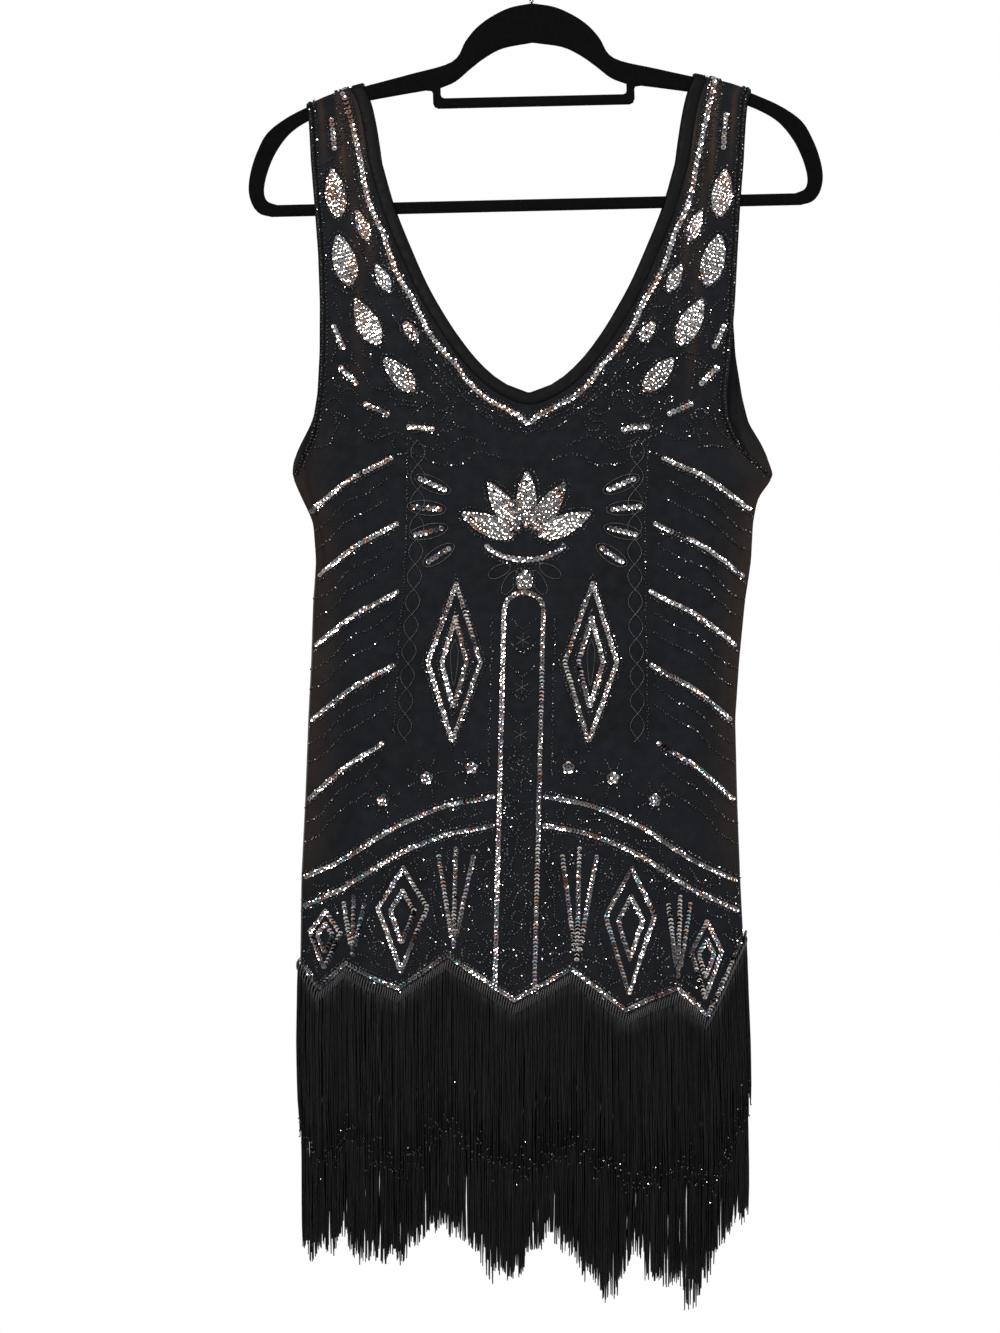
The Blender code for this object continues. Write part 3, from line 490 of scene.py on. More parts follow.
class Side:
    """The smooth form of one side of the dress."""

    def __init__(self, name, facing, sections, folds, creases, neck_shift, flank_depth):
        self.name = name
        self.facing = facing
        self.folds = folds
        self.creases = creases
        self.neck_shift = neck_shift
        self.flank_depth = flank_depth
        self.neck_bottom = NECK[-1].height - neck_shift
        self.columns = {field: dense_column(sections, field) for field in Section._fields[1:]}
        for name, rows, shift in (("neck", NECK, neck_shift), ("centre", CENTRE_LINE, 0.0)):
            heights = table_column(rows, "height")[::-1] - shift
            self.columns[name] = np.interp(HEIGHTS, heights, table_column(rows, "x")[::-1])

    def read(self, column, height):
        """A column at any heights."""
        return np.interp(height, HEIGHTS, self.columns[column])

    def edges(self, height):
        """X of the left and the right outer edge."""
        return self.read("left", height), self.read("right", height)

    def stops(self, hand, height):
        """X of the outer edge, the armhole band, the crease and the neck or centre line."""
        height = np.minimum(height, ROLL_START)
        edge = np.where(hand < 0, *self.edges(height))
        crease = np.where(hand < 0, self.read("left_crease", height), self.read("right_crease", height))
        inner = self.read("centre", height) + hand * self.read("neck", height)
        return edge, edge - hand * ARM_BAND, crease, inner

    def x_at(self, hand, share, height):
        """X at a share of the way from the outer edge to the neck or the centre."""
        edge, band, crease, inner = self.stops(hand, height)
        outer = mix(edge, band, share / BAND_SHARE)
        flank = mix(band, crease, (share - BAND_SHARE) / (CREASE_SHARE - BAND_SHARE))
        field = mix(crease, inner, (share - CREASE_SHARE) / (1.0 - CREASE_SHARE))
        return np.where(share < BAND_SHARE, outer, np.where(share < CREASE_SHARE, flank, field))

    def share_at(self, x, height):
        """The hand and share of an X."""
        hand = np.where(x < self.read("centre", height), LEFT, RIGHT)
        edge, band, crease, inner = self.stops(hand, height)
        outer = BAND_SHARE * (x - edge) / (band - edge)
        flank = mix(BAND_SHARE, CREASE_SHARE, (x - band) / (crease - band))
        field = mix(CREASE_SHARE, 1.0, (x - crease) / np.where(inner == crease, 1.0, inner - crease))
        share = np.where((x - band) * hand > 0.0, outer, np.where((x - crease) * hand > 0.0, flank, field))
        return hand, np.clip(share, 0.0, 1.0)

    def on_cloth(self, hand, line):
        """A line given by distances from the centre line and heights, on one hand."""
        line = np.array(line, float)
        return np.stack([self.read("centre", line[:, 1]) + hand * line[:, 0], line[:, 1]], axis=1)

    def rise(self, x, height):
        """How far the soft folds lift the cloth."""
        total = np.zeros_like(x)
        for fold in self.folds:
            along = (fold.top - height) / (fold.top - fold.low)
            distance = np.abs(x - mix(fold.top_x, fold.low_x, along)) / fold.half_width
            ridge = 0.5 + 0.5 * np.cos(math.pi * np.minimum(distance, 1.0))
            total += fold.rise * ridge * soft_window(height, fold.top, fold.low, FOLD_RAMP)
        return total

    def depth_at(self, x, height):
        """Distance of the cloth's outer face from the middle plane."""
        hand, share = self.share_at(x, height)
        left, right = self.edges(height)
        across = np.minimum(np.abs(2.0 * x - left - right) / (right - left), 1.0)
        roundness = (1.0 - across ** SECTION_POWER) ** (1.0 / SECTION_POWER)
        depth = mix(self.read("edge_depth", height), self.read("depth", height), roundness)
        depth = depth + self.rise(x, height) * np.minimum(1.0, 2.0 * roundness)
        beyond = eased((CREASE_SHARE - share) / (CREASE_SHARE - BAND_SHARE))
        for crease in self.creases:
            fall = crease.depth * beyond * soft_window(height, crease.top, crease.low, CREASE_RAMP)
            depth = depth - np.where(hand == crease.hand, fall, 0.0)
        floor = self.flank_depth * np.clip(share / BAND_SHARE, 0.0, 1.0)
        return np.maximum(np.maximum(depth, floor), SEAM_GAP / 2.0)

    def face(self, x, height):
        """Points of the cloth's outer face."""
        body = np.minimum(height, ROLL_START)
        depth = self.depth_at(x, body)
        roll = np.maximum(height - ROLL_START, 0.0) / STRAP_ROLL_RADIUS
        lean = np.maximum(body - SLANT_START, 0.0) / (ROLL_START - SLANT_START)
        z = mix(body, roll_centre(x), lean) + STRAP_ROLL_RADIUS * np.sin(roll)
        half_gap = SEAM_GAP / 2.0
        y = self.facing * (half_gap + (depth - half_gap) * np.cos(roll))
        return np.stack([x, y, z], axis=-1)

    def frames(self, x, height):
        """Points of the outer face with its outward normals."""
        across = self.face(x + 1.0, height) - self.face(x - 1.0, height)
        up = self.face(x, height + 1.0) - self.face(x, height - 1.0)
        return self.face(x, height), unit(np.cross(across, up) * -self.facing)

    def lifted(self, x, height, lift):
        """Points a lift out from the outer face."""
        points, normals = self.frames(x, height)
        return points + normals * lift


FRONT = Side("front", -1.0, FRONT_SECTIONS, FRONT_FOLDS, FRONT_CREASES, 3.0, 3.4)
BACK = Side("back", 1.0, BACK_SECTIONS, BACK_FOLDS, BACK_CREASES, 0.0, 2.2)
SHOULDER = ROLL_START + STRAP_ROLL_RADIUS * math.pi / 2.0


def hem_height(x):
    """Height of the zigzag hem."""
    return np.interp(x, *HEM.T)


def across_marks(side):
    """Shares of the length round a side along the hem's level, with the x of each."""
    x = np.linspace(*side.edges(HEM_LEVEL), 481)
    along = lengths_along(side.face(x, np.full_like(x, HEM_LEVEL)))
    return along / along[-1], x


# Meshes

def enlist(piece, replaced=()):
    """Link a piece, say what it rides on, and hide the solids that it replaces."""
    bpy.context.scene.collection.objects.link(piece)
    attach(piece, "root")
    if replaced:
        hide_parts(*replaced)
    return piece


def add_piece(name, points, face_groups, material, slot, replaced=(), tint=None, smooth=True):
    """A piece of the object: points in millimetres, and arrays of faces, each array of one size."""
    mesh = bpy.data.meshes.new(name)
    mesh.vertices.add(len(points))
    mesh.vertices.foreach_set("co", (points * METRES).astype(np.float32).ravel())
    corners = np.concatenate([faces.ravel() for faces in face_groups]).astype(np.int32)
    sizes = np.concatenate([np.full(len(faces), faces.shape[1]) for faces in face_groups])
    mesh.loops.add(len(corners))
    mesh.loops.foreach_set("vertex_index", corners)
    mesh.polygons.add(len(sizes))
    starts = np.concatenate([[0], np.cumsum(sizes)[:-1]])
    mesh.polygons.foreach_set("loop_start", starts.astype(np.int32))
    mesh.update(calc_edges=True)
    mesh.polygons.foreach_set("use_smooth", np.full(len(sizes), smooth))
    if tint is not None:
        layer = mesh.attributes.new("tint", "FLOAT_COLOR", "POINT")
        colours = np.column_stack([tint, np.ones(len(tint))])
        layer.data.foreach_set("color", colours.astype(np.float32).ravel())
    mesh.materials.append(material)
    return enlist(bpy.data.objects.new(name, mesh), replaced)


def grid_faces(index):
    """Quads between neighbours in a grid of point numbers."""
    quads = [index[:-1, :-1], index[1:, :-1], index[1:, 1:], index[:-1, 1:]]
    return np.stack(quads, axis=-1).reshape(-1, 4)


def ring_index(rings, sides):
    """Point numbers of rings, each ring closed by its first point."""
    index = np.arange(rings * sides).reshape(rings, sides)
    return np.column_stack([index, index[:, 0]])


def sweep(paths, normals, radii, sides):
    """Closed tubes along many paths of one length: points and groups of faces.

    Paths are an array of tubes by steps by three, normals are roughly square to them, and the
    radii are an array of tubes by steps.
    """
    tubes, steps, _ = paths.shape
    along = unit(np.gradient(paths, axis=1))
    first = unit(normals - along * np.sum(normals * along, axis=2, keepdims=True))
    second = np.cross(along, first)
    angles = np.arange(sides) * 2.0 * math.pi / sides
    ring = first[:, :, None] * np.cos(angles)[:, None] + second[:, :, None] * np.sin(angles)[:, None]
    rings = paths[:, :, None] + ring * radii[:, :, None, None]
    start = paths[:, :1] - along[:, :1] * radii[:, :1, None] * END_BULGE
    end = paths[:, -1:] + along[:, -1:] * radii[:, -1:, None] * END_BULGE
    points = np.concatenate([rings.reshape(tubes, steps * sides, 3), start, end], axis=1)
    index = ring_index(steps, sides)
    start_cap = [np.full(sides, steps * sides), index[0, 1:], index[0, :-1]]
    end_cap = [np.full(sides, steps * sides + 1), index[-1, :-1], index[-1, 1:]]
    caps = np.concatenate([np.stack(cap, axis=-1) for cap in (start_cap, end_cap)])
    return repeated(points, [grid_faces(index.T), caps])


def repeated(points, faces):
    """Many shapes that share their faces, given as shapes by points by three, in one set."""
    offset = (np.arange(len(points)) * points.shape[1])[:, None, None]
    return points.reshape(-1, 3), [(group + offset).reshape(-1, group.shape[1]) for group in faces]


def copies(template, faces, origins, axes, scales):
    """Copies of a small shape at origins, each with its own axes (the rows of a matrix) and scale."""
    shapes = np.einsum("vk,nkj->nvj", template, axes) * scales[:, None, None]
    return repeated(origins[:, None] + shapes, faces)


def joined(parts):
    """Several sets of points and groups of faces as one."""
    points, groups, base = [], defaultdict(list), 0
    for some_points, face_groups in parts:
        points.append(some_points)
        for faces in face_groups:
            groups[faces.shape[1]].append(faces + base)
        base += len(some_points)
    return np.concatenate(points), [np.concatenate(groups[size]) for size in sorted(groups)]


# Materials

class Nodes:
    """Short ways to add nodes to a tree and to wire them."""

    def __init__(self, tree):
        self.tree = tree

    def wire(self, value, socket):
        """Set a socket, or link a node's output to it."""
        if isinstance(value, bpy.types.NodeSocket):
            self.tree.links.new(value, socket)
        else:
            socket.default_value = value

    def node(self, kind, inputs=(), **settings):
        """A node with its settings, its inputs given by name or number."""
        node = self.tree.nodes.new(kind)
        for setting, value in settings.items():
            setattr(node, setting, value)
        for socket, value in dict(inputs).items():
            self.wire(value, node.inputs[socket])
        return node

    def ramp(self, value, low, high, first, last):
        """A value mapped from one span to another."""
        inputs = {"Value": value, "From Min": low, "From Max": high, "To Min": first, "To Max": last}
        return self.node("ShaderNodeMapRange", inputs).outputs["Result"]

    def blend(self, share, first, last):
        """A colour between two plain colours."""
        inputs = {0: share, 6: (*first, 1.0), 7: (*last, 1.0)}
        return self.node("ShaderNodeMix", inputs, data_type="RGBA").outputs[2]


class Shader(Nodes):
    """A node material round one Principled shader. Periods and distances are in millimetres."""

    def __init__(self, name):
        self.material = bpy.data.materials.new(name)
        self.material.use_nodes = True
        super().__init__(self.material.node_tree)
        self.principled = self.tree.nodes["Principled BSDF"]

    def put(self, **values):
        """Set or wire some of the shader's sockets, a line standing for each space in a name."""
        for name, value in values.items():
            self.wire(value, self.principled.inputs[name.replace("_", " ")])

    def place(self, scale=(1.0, 1.0, 1.0)):
        """A point of the piece in metres, stretched by a scale."""
        where = self.node("ShaderNodeTexCoord").outputs["Object"]
        return self.node("ShaderNodeMapping", {"Vector": where, "Scale": scale}).outputs["Vector"]

    def noise(self, period, detail=2.0, stretch=(1.0, 1.0, 1.0)):
        """Soft noise."""
        scale = 1.0 / (period * METRES)
        inputs = {"Vector": self.place(stretch), "Scale": scale, "Detail": detail}
        return self.node("ShaderNodeTexNoise", inputs).outputs["Fac"]

    def ribs(self, period, axis, distortion=0.0):
        """Parallel ribs along an axis."""
        scale = 2.0 * math.pi / (20.0 * period * METRES)
        inputs = {"Vector": self.place(), "Scale": scale, "Distortion": distortion}
        return self.node("ShaderNodeTexWave", inputs, bands_direction=axis).outputs["Fac"]

    def uneven(self, period, first, last, detail=2.0):
        """A value that drifts between two with noise."""
        return self.ramp(self.noise(period, detail), 0.3, 0.7, first, last)

    def drift(self, colour_period, dark, light, wear_period, smooth, rough):
        """Let the colour drift between two colours with noise, and the roughness between two values."""
        self.put(Base_Color=self.blend(self.noise(colour_period), dark, light))
        self.put(Roughness=self.uneven(wear_period, smooth, rough))

    def tint(self):
        """The colour that the piece itself carries."""
        return self.node("ShaderNodeAttribute", attribute_name="tint").outputs["Color"]

    def times(self, colour, factor):
        """A colour made lighter or darker by a factor."""
        inputs = {0: colour, "Scale": factor}
        return self.node("ShaderNodeVectorMath", inputs, operation="SCALE").outputs[0]

    def bump(self, height, distance, strength=1.0, under=None):
        """Raise the surface by a height map, over another one if there is one under it."""
        inputs = {"Height": height, "Distance": distance * METRES, "Strength": strength}
        if under is not None:
            inputs["Normal"] = under
        normal = self.node("ShaderNodeBump", inputs).outputs["Normal"]
        self.put(Normal=normal)
        return normal


def net_material():
    """Fine black stretch net, blue-black, with a warm brown painted highlight along its flanks and warm
    brown where the straps are stretched thin.
    """
    shader = Shader("net_black")
    cloud = shader.uneven(38.0, 0.8, 1.25, 3.0)
    rib = shader.ramp(shader.ribs(1.3, "Z", 0.4), 0.0, 1.0, 0.7, 1.25)
    shade = shader.node("ShaderNodeMath", {0: cloud, 1: rib}, operation="MULTIPLY").outputs[0]
    # The tint mixes in warm brown: painted highlight at the flanks, and stretched thin net in the straps
    colour = shader.blend(shader.tint(), (0.0036, 0.0041, 0.0056), (0.0280, 0.0166, 0.0096))
    shader.put(Base_Color=shader.times(colour, shade), Roughness=shader.uneven(9.0, 0.72, 0.9))
    low = shader.bump(shader.ribs(1.3, "Z", 0.4), 0.12, 0.6)
    shader.bump(shader.noise(0.8, 1.0), 0.05, 0.5, under=low)
    shader.put(Specular_IOR_Level=0.14)
    shader.put(Sheen_Weight=0.022, Sheen_Roughness=0.4, Sheen_Tint=(0.55, 0.6, 0.75, 1.0))
    return shader.material


def binding_material():
    """Smooth black satin binding."""
    shader = Shader("binding_black")
    shader.drift(22.0, (0.0016, 0.0016, 0.0017), (0.0030, 0.0028, 0.0028), 6.0, 0.42, 0.6)
    shader.put(Specular_IOR_Level=0.06)
    shader.bump(shader.noise(0.7, 1.0), 0.04, 0.4)
    return shader.material


def slip_material():
    """Plain black slip satin, woven."""
    shader = Shader("slip_black")
    shader.drift(30.0, (0.0042, 0.0042, 0.005), (0.0065, 0.0062, 0.0068), 5.0, 0.48, 0.62)
    shader.put(Specular_IOR_Level=0.15)
    low = shader.bump(shader.ribs(0.9, "X"), 0.05, 0.4)
    shader.bump(shader.ribs(0.9, "Z"), 0.05, 0.4, under=low)
    return shader.material


def fringe_material():
    """Twisted black rayon yarn with a soft gloss, its colour drawn out along the yarn."""
    shader = Shader("fringe_black")
    grain = shader.noise(7.0, 1.0, (1.0, 1.0, 0.06))
    colour = shader.blend(grain, (0.0008, 0.0008, 0.0009), (0.0024, 0.0022, 0.0022))
    shader.put(Base_Color=colour, Roughness=shader.uneven(5.0, 0.32, 0.48), Specular_IOR_Level=0.15)
    shader.bump(shader.ribs(0.9, "DIAGONAL"), 0.05, 0.5)
    return shader.material


def heading_material():
    """Stitched loops of black yarn at the head of the fringe, coloured lighter than the fringe as a painted
    highlight for the light that the loops catch.
    """
    shader = Shader("heading_black")
    # Grey base colour on black yarn: painted highlight
    shader.drift(9.0, (0.016, 0.016, 0.018), (0.034, 0.033, 0.034), 4.0, 0.4, 0.6)
    shader.bump(shader.ribs(0.7, "DIAGONAL"), 0.06, 0.6)
    return shader.material


def cord_material():
    """Glossy black chain-stitch thread."""
    shader = Shader("cord_black")
    shader.drift(12.0, (0.0025, 0.0026, 0.0032), (0.0070, 0.0072, 0.0085), 3.0, 0.3, 0.45)
    shader.bump(shader.ribs(1.1, "DIAGONAL"), 0.08, 0.7)
    return shader.material


def bead_material():
    """Cut glass seed beads, jet black, which sparkle."""
    shader = Shader("bead_jet")
    shader.drift(16.0, (0.0022, 0.0022, 0.003), (0.009, 0.008, 0.009), 2.0, 0.04, 0.12)
    shader.put(IOR=2.0, Specular_IOR_Level=0.62)
    return shader.material


def sequin_material():
    """Metallic cup sequins, whose colour comes from the piece itself."""
    shader = Shader("sequin_metal")
    colour = shader.times(shader.tint(), shader.uneven(2.2, 0.86, 1.1, 1.0))
    shader.put(Base_Color=colour, Roughness=shader.uneven(3.0, 0.09, 0.18), Metallic=1.0)
    shader.bump(shader.noise(1.6, 1.0), 0.02, 0.4)
    return shader.material


def velvet_material():
    """Flocked black velvet of the hanger."""
    shader = Shader("velvet_black")
    pile = shader.blend(shader.noise(4.0, 3.0), (0.0009, 0.0009, 0.0010), (0.0028, 0.0026, 0.0027))
    shader.put(Base_Color=pile, Roughness=shader.uneven(2.5, 0.85, 1.0), Specular_IOR_Level=0.05)
    shader.put(Sheen_Weight=0.015, Sheen_Roughness=0.5)
    shader.bump(shader.noise(0.45, 2.0), 0.12, 0.7)
    return shader.material


def steel_material():
    """Plated steel wire of the hook."""
    shader = Shader("hook_steel")
    shader.drift(9.0, (0.56, 0.55, 0.54), (0.68, 0.67, 0.66), 3.0, 0.18, 0.34)
    shader.put(Metallic=1.0)
    shader.bump(shader.ribs(0.6, "X", 2.0), 0.01, 0.3)
    return shader.material


# Cloth shells

def share_columns(hand):
    """Shares of a shell's columns on one hand, with one at each corner of the zigzag hem."""
    _, _, crease, centre = FRONT.stops(hand, HEM_LEVEL)
    corners = HEM[:, 0]
    inside = corners[(corners * hand < crease * hand) & (corners * hand > centre * hand)]
    stops = [float(crease)] + sorted(inside, key=lambda x: -x * hand) + [float(centre)]
    band = np.linspace(0.0, BAND_SHARE, BAND_COLUMNS)
    flank = np.linspace(BAND_SHARE, CREASE_SHARE, FLANK_COLUMNS)
    shares = [*band, *flank[1:]]
    for start, end in zip(stops, stops[1:]):
        x = np.linspace(start, end, math.ceil(abs(end - start) / COLUMN_STEP) + 1)[1:]
        shares += list(FRONT.share_at(x, np.full_like(x, HEM_LEVEL))[1])
    shares[-1] = 1.0
    return np.array(shares)


SHARES = {hand: share_columns(hand) for hand in HANDS}


def hem_of(hand, shares):
    """Height of the hem on a shell's columns."""
    return hem_height(FRONT.x_at(hand, shares, HEM_LEVEL))


def shell(side, name, rows, split_rows, lift, material, slot, replaced, tint_of=None):
    """A shell over both hands of a side. The rows are functions from columns to heights.

    Its two hands are parted down to the row where the V of the neck ends.
    """
    grids = []
    for hand in HANDS:
        heights = np.stack([row(hand, SHARES[hand]) for row in rows])
        grids.append((side.x_at(hand, SHARES[hand][None], heights), heights))
    x, heights = (np.concatenate([left, right[:, ::-1]], axis=1) for left, right in zip(*grids))
    seam = len(SHARES[LEFT])
    index = np.arange(x.size).reshape(x.shape)
    index[split_rows:, seam] = index[split_rows:, seam - 1]
    faces = np.concatenate([grid_faces(index[:, :seam]), grid_faces(index[:, seam:])])
    if side.facing > 0.0:
        faces = faces[:, ::-1]
    used, faces = np.unique(faces, return_inverse=True)
    points = side.lifted(x, heights, lift).reshape(-1, 3)[used]
    tint = tint_of(x.ravel()[used], heights.ravel()[used]) if tint_of else None
    piece = add_piece(name, points, [faces.reshape(-1, 4)], material, slot, replaced, tint)
    wall = piece.modifiers.new("wall", "SOLIDIFY")
    wall.thickness = SHELL_WALL * METRES
    wall.offset = -1.0
    return piece


def stretch_and_highlight_tint(side):
    """How warm brown the net is: a painted highlight at the sides, and net stretched thin in a few long
    streaks of the straps.
    """
    def tint(x, height):
        edges = dict(zip(HANDS, side.edges(height)))
        reach = np.minimum(x - edges[LEFT], edges[RIGHT] - x)
        nearness = np.clip(1.0 - reach / FLANK_HIGHLIGHT_REACH, 0.0, 1.0)
        # Painted highlight along the flanks, where the cloth rolls round
        total = FLANK_PAINTED_HIGHLIGHT * nearness ** 1.5 * soft_window(height, *FLANK_HIGHLIGHT_WINDOW)
        # Streaks of the straps, where the net is stretched thin
        for hand in HANDS:
            for streak in STREAKS:
                distance = (edges[hand] - x) * hand - streak.inset
                strength = streak.weight * soft_window(height, STREAK_TOP, streak.low, STREAK_RAMP)
                total = total + strength * np.exp(-(distance / streak.width) ** 2)
        return np.repeat(np.clip(total, 0.0, 1.0)[:, None], 3, axis=1)
    return tint


def levels(top, low):
    """Heights about a row apart."""
    return np.linspace(top, low, math.ceil((top - low) / ROW_STEP) + 1)


def build_panel(side, material):
    """The front or back with its straps, V neck, armholes and zigzag hem."""
    roll = np.linspace(SHOULDER, ROLL_START, 7)[:-1]
    upper = [*roll, *levels(ROLL_START, side.neck_bottom)]
    lower = levels(side.neck_bottom, HEM_WARP_START)[1:]
    rows = [lambda hand, shares, h=h: np.full_like(shares, h) for h in [*upper, *lower]]
    for t in np.arange(1, HEM_WARP_ROWS + 1) / HEM_WARP_ROWS:
        rows.append(lambda hand, shares, t=t: mix(HEM_WARP_START, hem_of(hand, shares), t))
    return shell(side, "net_" + side.name, rows, len(upper) - 1, 0.0, material, "beaded_net", (side.name,),
                 stretch_and_highlight_tint(side))


def build_underskirt(side, material):
    """The slip's lower edge behind the upper fringe, which carries the lower fringe."""
    drops = [-6.0, *np.linspace(0.0, UNDERSKIRT_LENGTH, 15)]
    rows = [lambda hand, shares, d=d: hem_of(hand, shares) - d for d in drops]
    return shell(side, "slip_" + side.name, rows, 0, -UNDERSKIRT_DEPTH, material, "slip",
                 ("underskirt_" + side.name,))


# Lines on the cloth, as rows of x and height

def neck_curve():
    """Half width of the neck against height, read smoothly down to the point of the V."""
    path = smooth_path(NECK + [(-NECK[-2].x, NECK[-2].height)], NECK_CURVE_STEPS)
    return path[path[:, 0] >= 0.0]


NECK_CURVE = neck_curve()
STRAP_LEVELS = np.linspace(SHOULDER, ROLL_START, 5)[:-1]


def neck_half(side):
    """Half widths and heights of a side's neck, below the roll of the straps."""
    half = NECK_CURVE - (0.0, side.neck_shift)
    return half[half[:, 1] < ROLL_START]


def over_strap(x):
    """A straight line down over the roll of a strap."""
    return np.stack([np.full(len(STRAP_LEVELS), x), STRAP_LEVELS], axis=1)


def neck_line(side, inset):
    """A line inside the neck's edge, from the left shoulder round the V to the right one."""
    left, right = (side.on_cloth(hand, neck_half(side)) for hand in HANDS)
    line = np.concatenate([over_strap(left[0, 0]), left, right[-2::-1], over_strap(right[0, 0])[::-1]])
    line, heading = resample(line, LINE_PITCH)
    into = to_the_right(heading)
    rolled = line[:, 1] > ROLL_START
    into[rolled] = np.where(line[rolled, :1] < 0.0, (-1.0, 0.0), (1.0, 0.0))
    return line + into * inset


def neck_row(side, depth):
    """A scalloped line inside the neck's edge, whose two halves meet in a point under the V."""
    half = neck_half(side)
    last = len(half) - NECK_CURVE_STEPS - 1
    onward = half[last] + NECK_POINT_REACH * unit(half[last] - half[last - NECK_CURVE_STEPS])
    line = np.concatenate([over_strap(half[0, 0]), half[:last + 1], [onward]])
    line, heading = resample(line, LINE_PITCH)
    along = lengths_along(line)
    total = np.interp(0.0, -line[:, 0], along)
    inset = depth + SCALLOP_DEPTH * np.abs(np.sin(math.pi * SCALLOPS * along / total))
    line = line - to_the_right(heading) * inset[:, None]
    end = int(np.argmax(line[:, 0] < 0.0))
    tip = np.interp(0.0, line[[end, end - 1], 0], line[[end, end - 1], 1])
    line = np.concatenate([line[:end], [(0.0, tip)]])
    left, right = (side.on_cloth(hand, line) for hand in HANDS)
    return np.concatenate([left, right[-2::-1]])


def arm_line(side, hand, inset):
    """A line along an armhole's edge, from the shoulder down to the underarm."""
    height = np.arange(SHOULDER, UNDERARM, -3.0)
    return np.stack([side.stops(hand, height)[0] - hand * inset, height], axis=1)


def beside(line, gap):
    """A line that runs beside another at a gap."""
    line, heading = resample(line, 1.5)
    return line + to_the_right(heading) * gap


def direction(lean):
    """The direction that leans out from upright by some degrees."""
    return np.array([math.sin(math.radians(lean)), math.cos(math.radians(lean))])


def square_to(axis):
    """The direction square to another, on its right."""
    return np.array([axis[1], -axis[0]])


def straight(u, height, length, lean):
    """The two ends of a short straight line about its middle."""
    half = 0.5 * length * direction(lean)
    return [np.array([u, height]) + half, np.array([u, height]) - half]


def polygon(points):
    """A closed outline."""
    return list(points) + [points[0]]


def diamond(u, height, half_height, half_width):
    """A closed outline with four corners."""
    return polygon([(u, height + half_height), (u + half_width, height), (u, height - half_height),
                    (u - half_width, height)])


def arc(u, height, radius, start, end, squash=1.0):
    """Part of an ellipse, its angles in degrees from the right."""
    angles = np.radians(np.linspace(start, end, 18))
    return [(u + radius * math.cos(angle), height + radius * squash * math.sin(angle)) for angle in angles]


def oval(middle, lean, reach, half_width, count):
    """An ellipse along a leaning axis. It starts at the top, or at the foot if its reach is negative."""
    axis = direction(lean)
    turn = np.linspace(0.0, 2.0 * math.pi, count)[:, None]
    return middle + np.sin(turn) * square_to(axis) * half_width + np.cos(turn) * axis * reach


# What is sewn on

def sequin_tints(x, height, luck):
    """Colours of sequins: silver, warmer at the shoulders and with lilac and teal low down."""
    count = len(x)
    high = np.clip((height + 520.0) / 300.0, 0.0, 1.0)
    low = np.clip((-560.0 - height) / 160.0, 0.0, 1.0)
    left = np.clip(0.55 - x / 240.0, 0.1, 1.0)
    drift = 0.5 + 0.5 * np.sin(x / 13.0 + 2.1 * np.sin(height / 19.0))
    shares = {
        "silver": np.full(count, 1.5),
        "rose": 0.35 + 0.5 * high * left,
        "copper": 0.1 + 0.9 * high * left * drift,
        "lilac": 0.1 + 0.7 * low * drift,
        "teal": 0.04 + 0.6 * low * (1.0 - drift),
        "smoke": np.full(count, 0.22),
    }
    weights = np.stack([shares[name] for name in PALETTE])
    steps = np.cumsum(weights / weights.sum(axis=0), axis=0)
    wave = 0.5 + 0.5 * np.sin(x / 7.0 + height / 16.0 + 1.9 * np.sin(height / 27.0 - x / 19.0))
    chance = mix(wave, luck.random(count), 0.45)
    choice = np.minimum((chance > steps).sum(axis=0), len(PALETTE) - 1)
    colours = np.array(list(PALETTE.values()))[choice]
    return colours * luck.uniform(0.72, 1.15, (count, 1)) * (1.0 - 0.25 * low)[:, None]


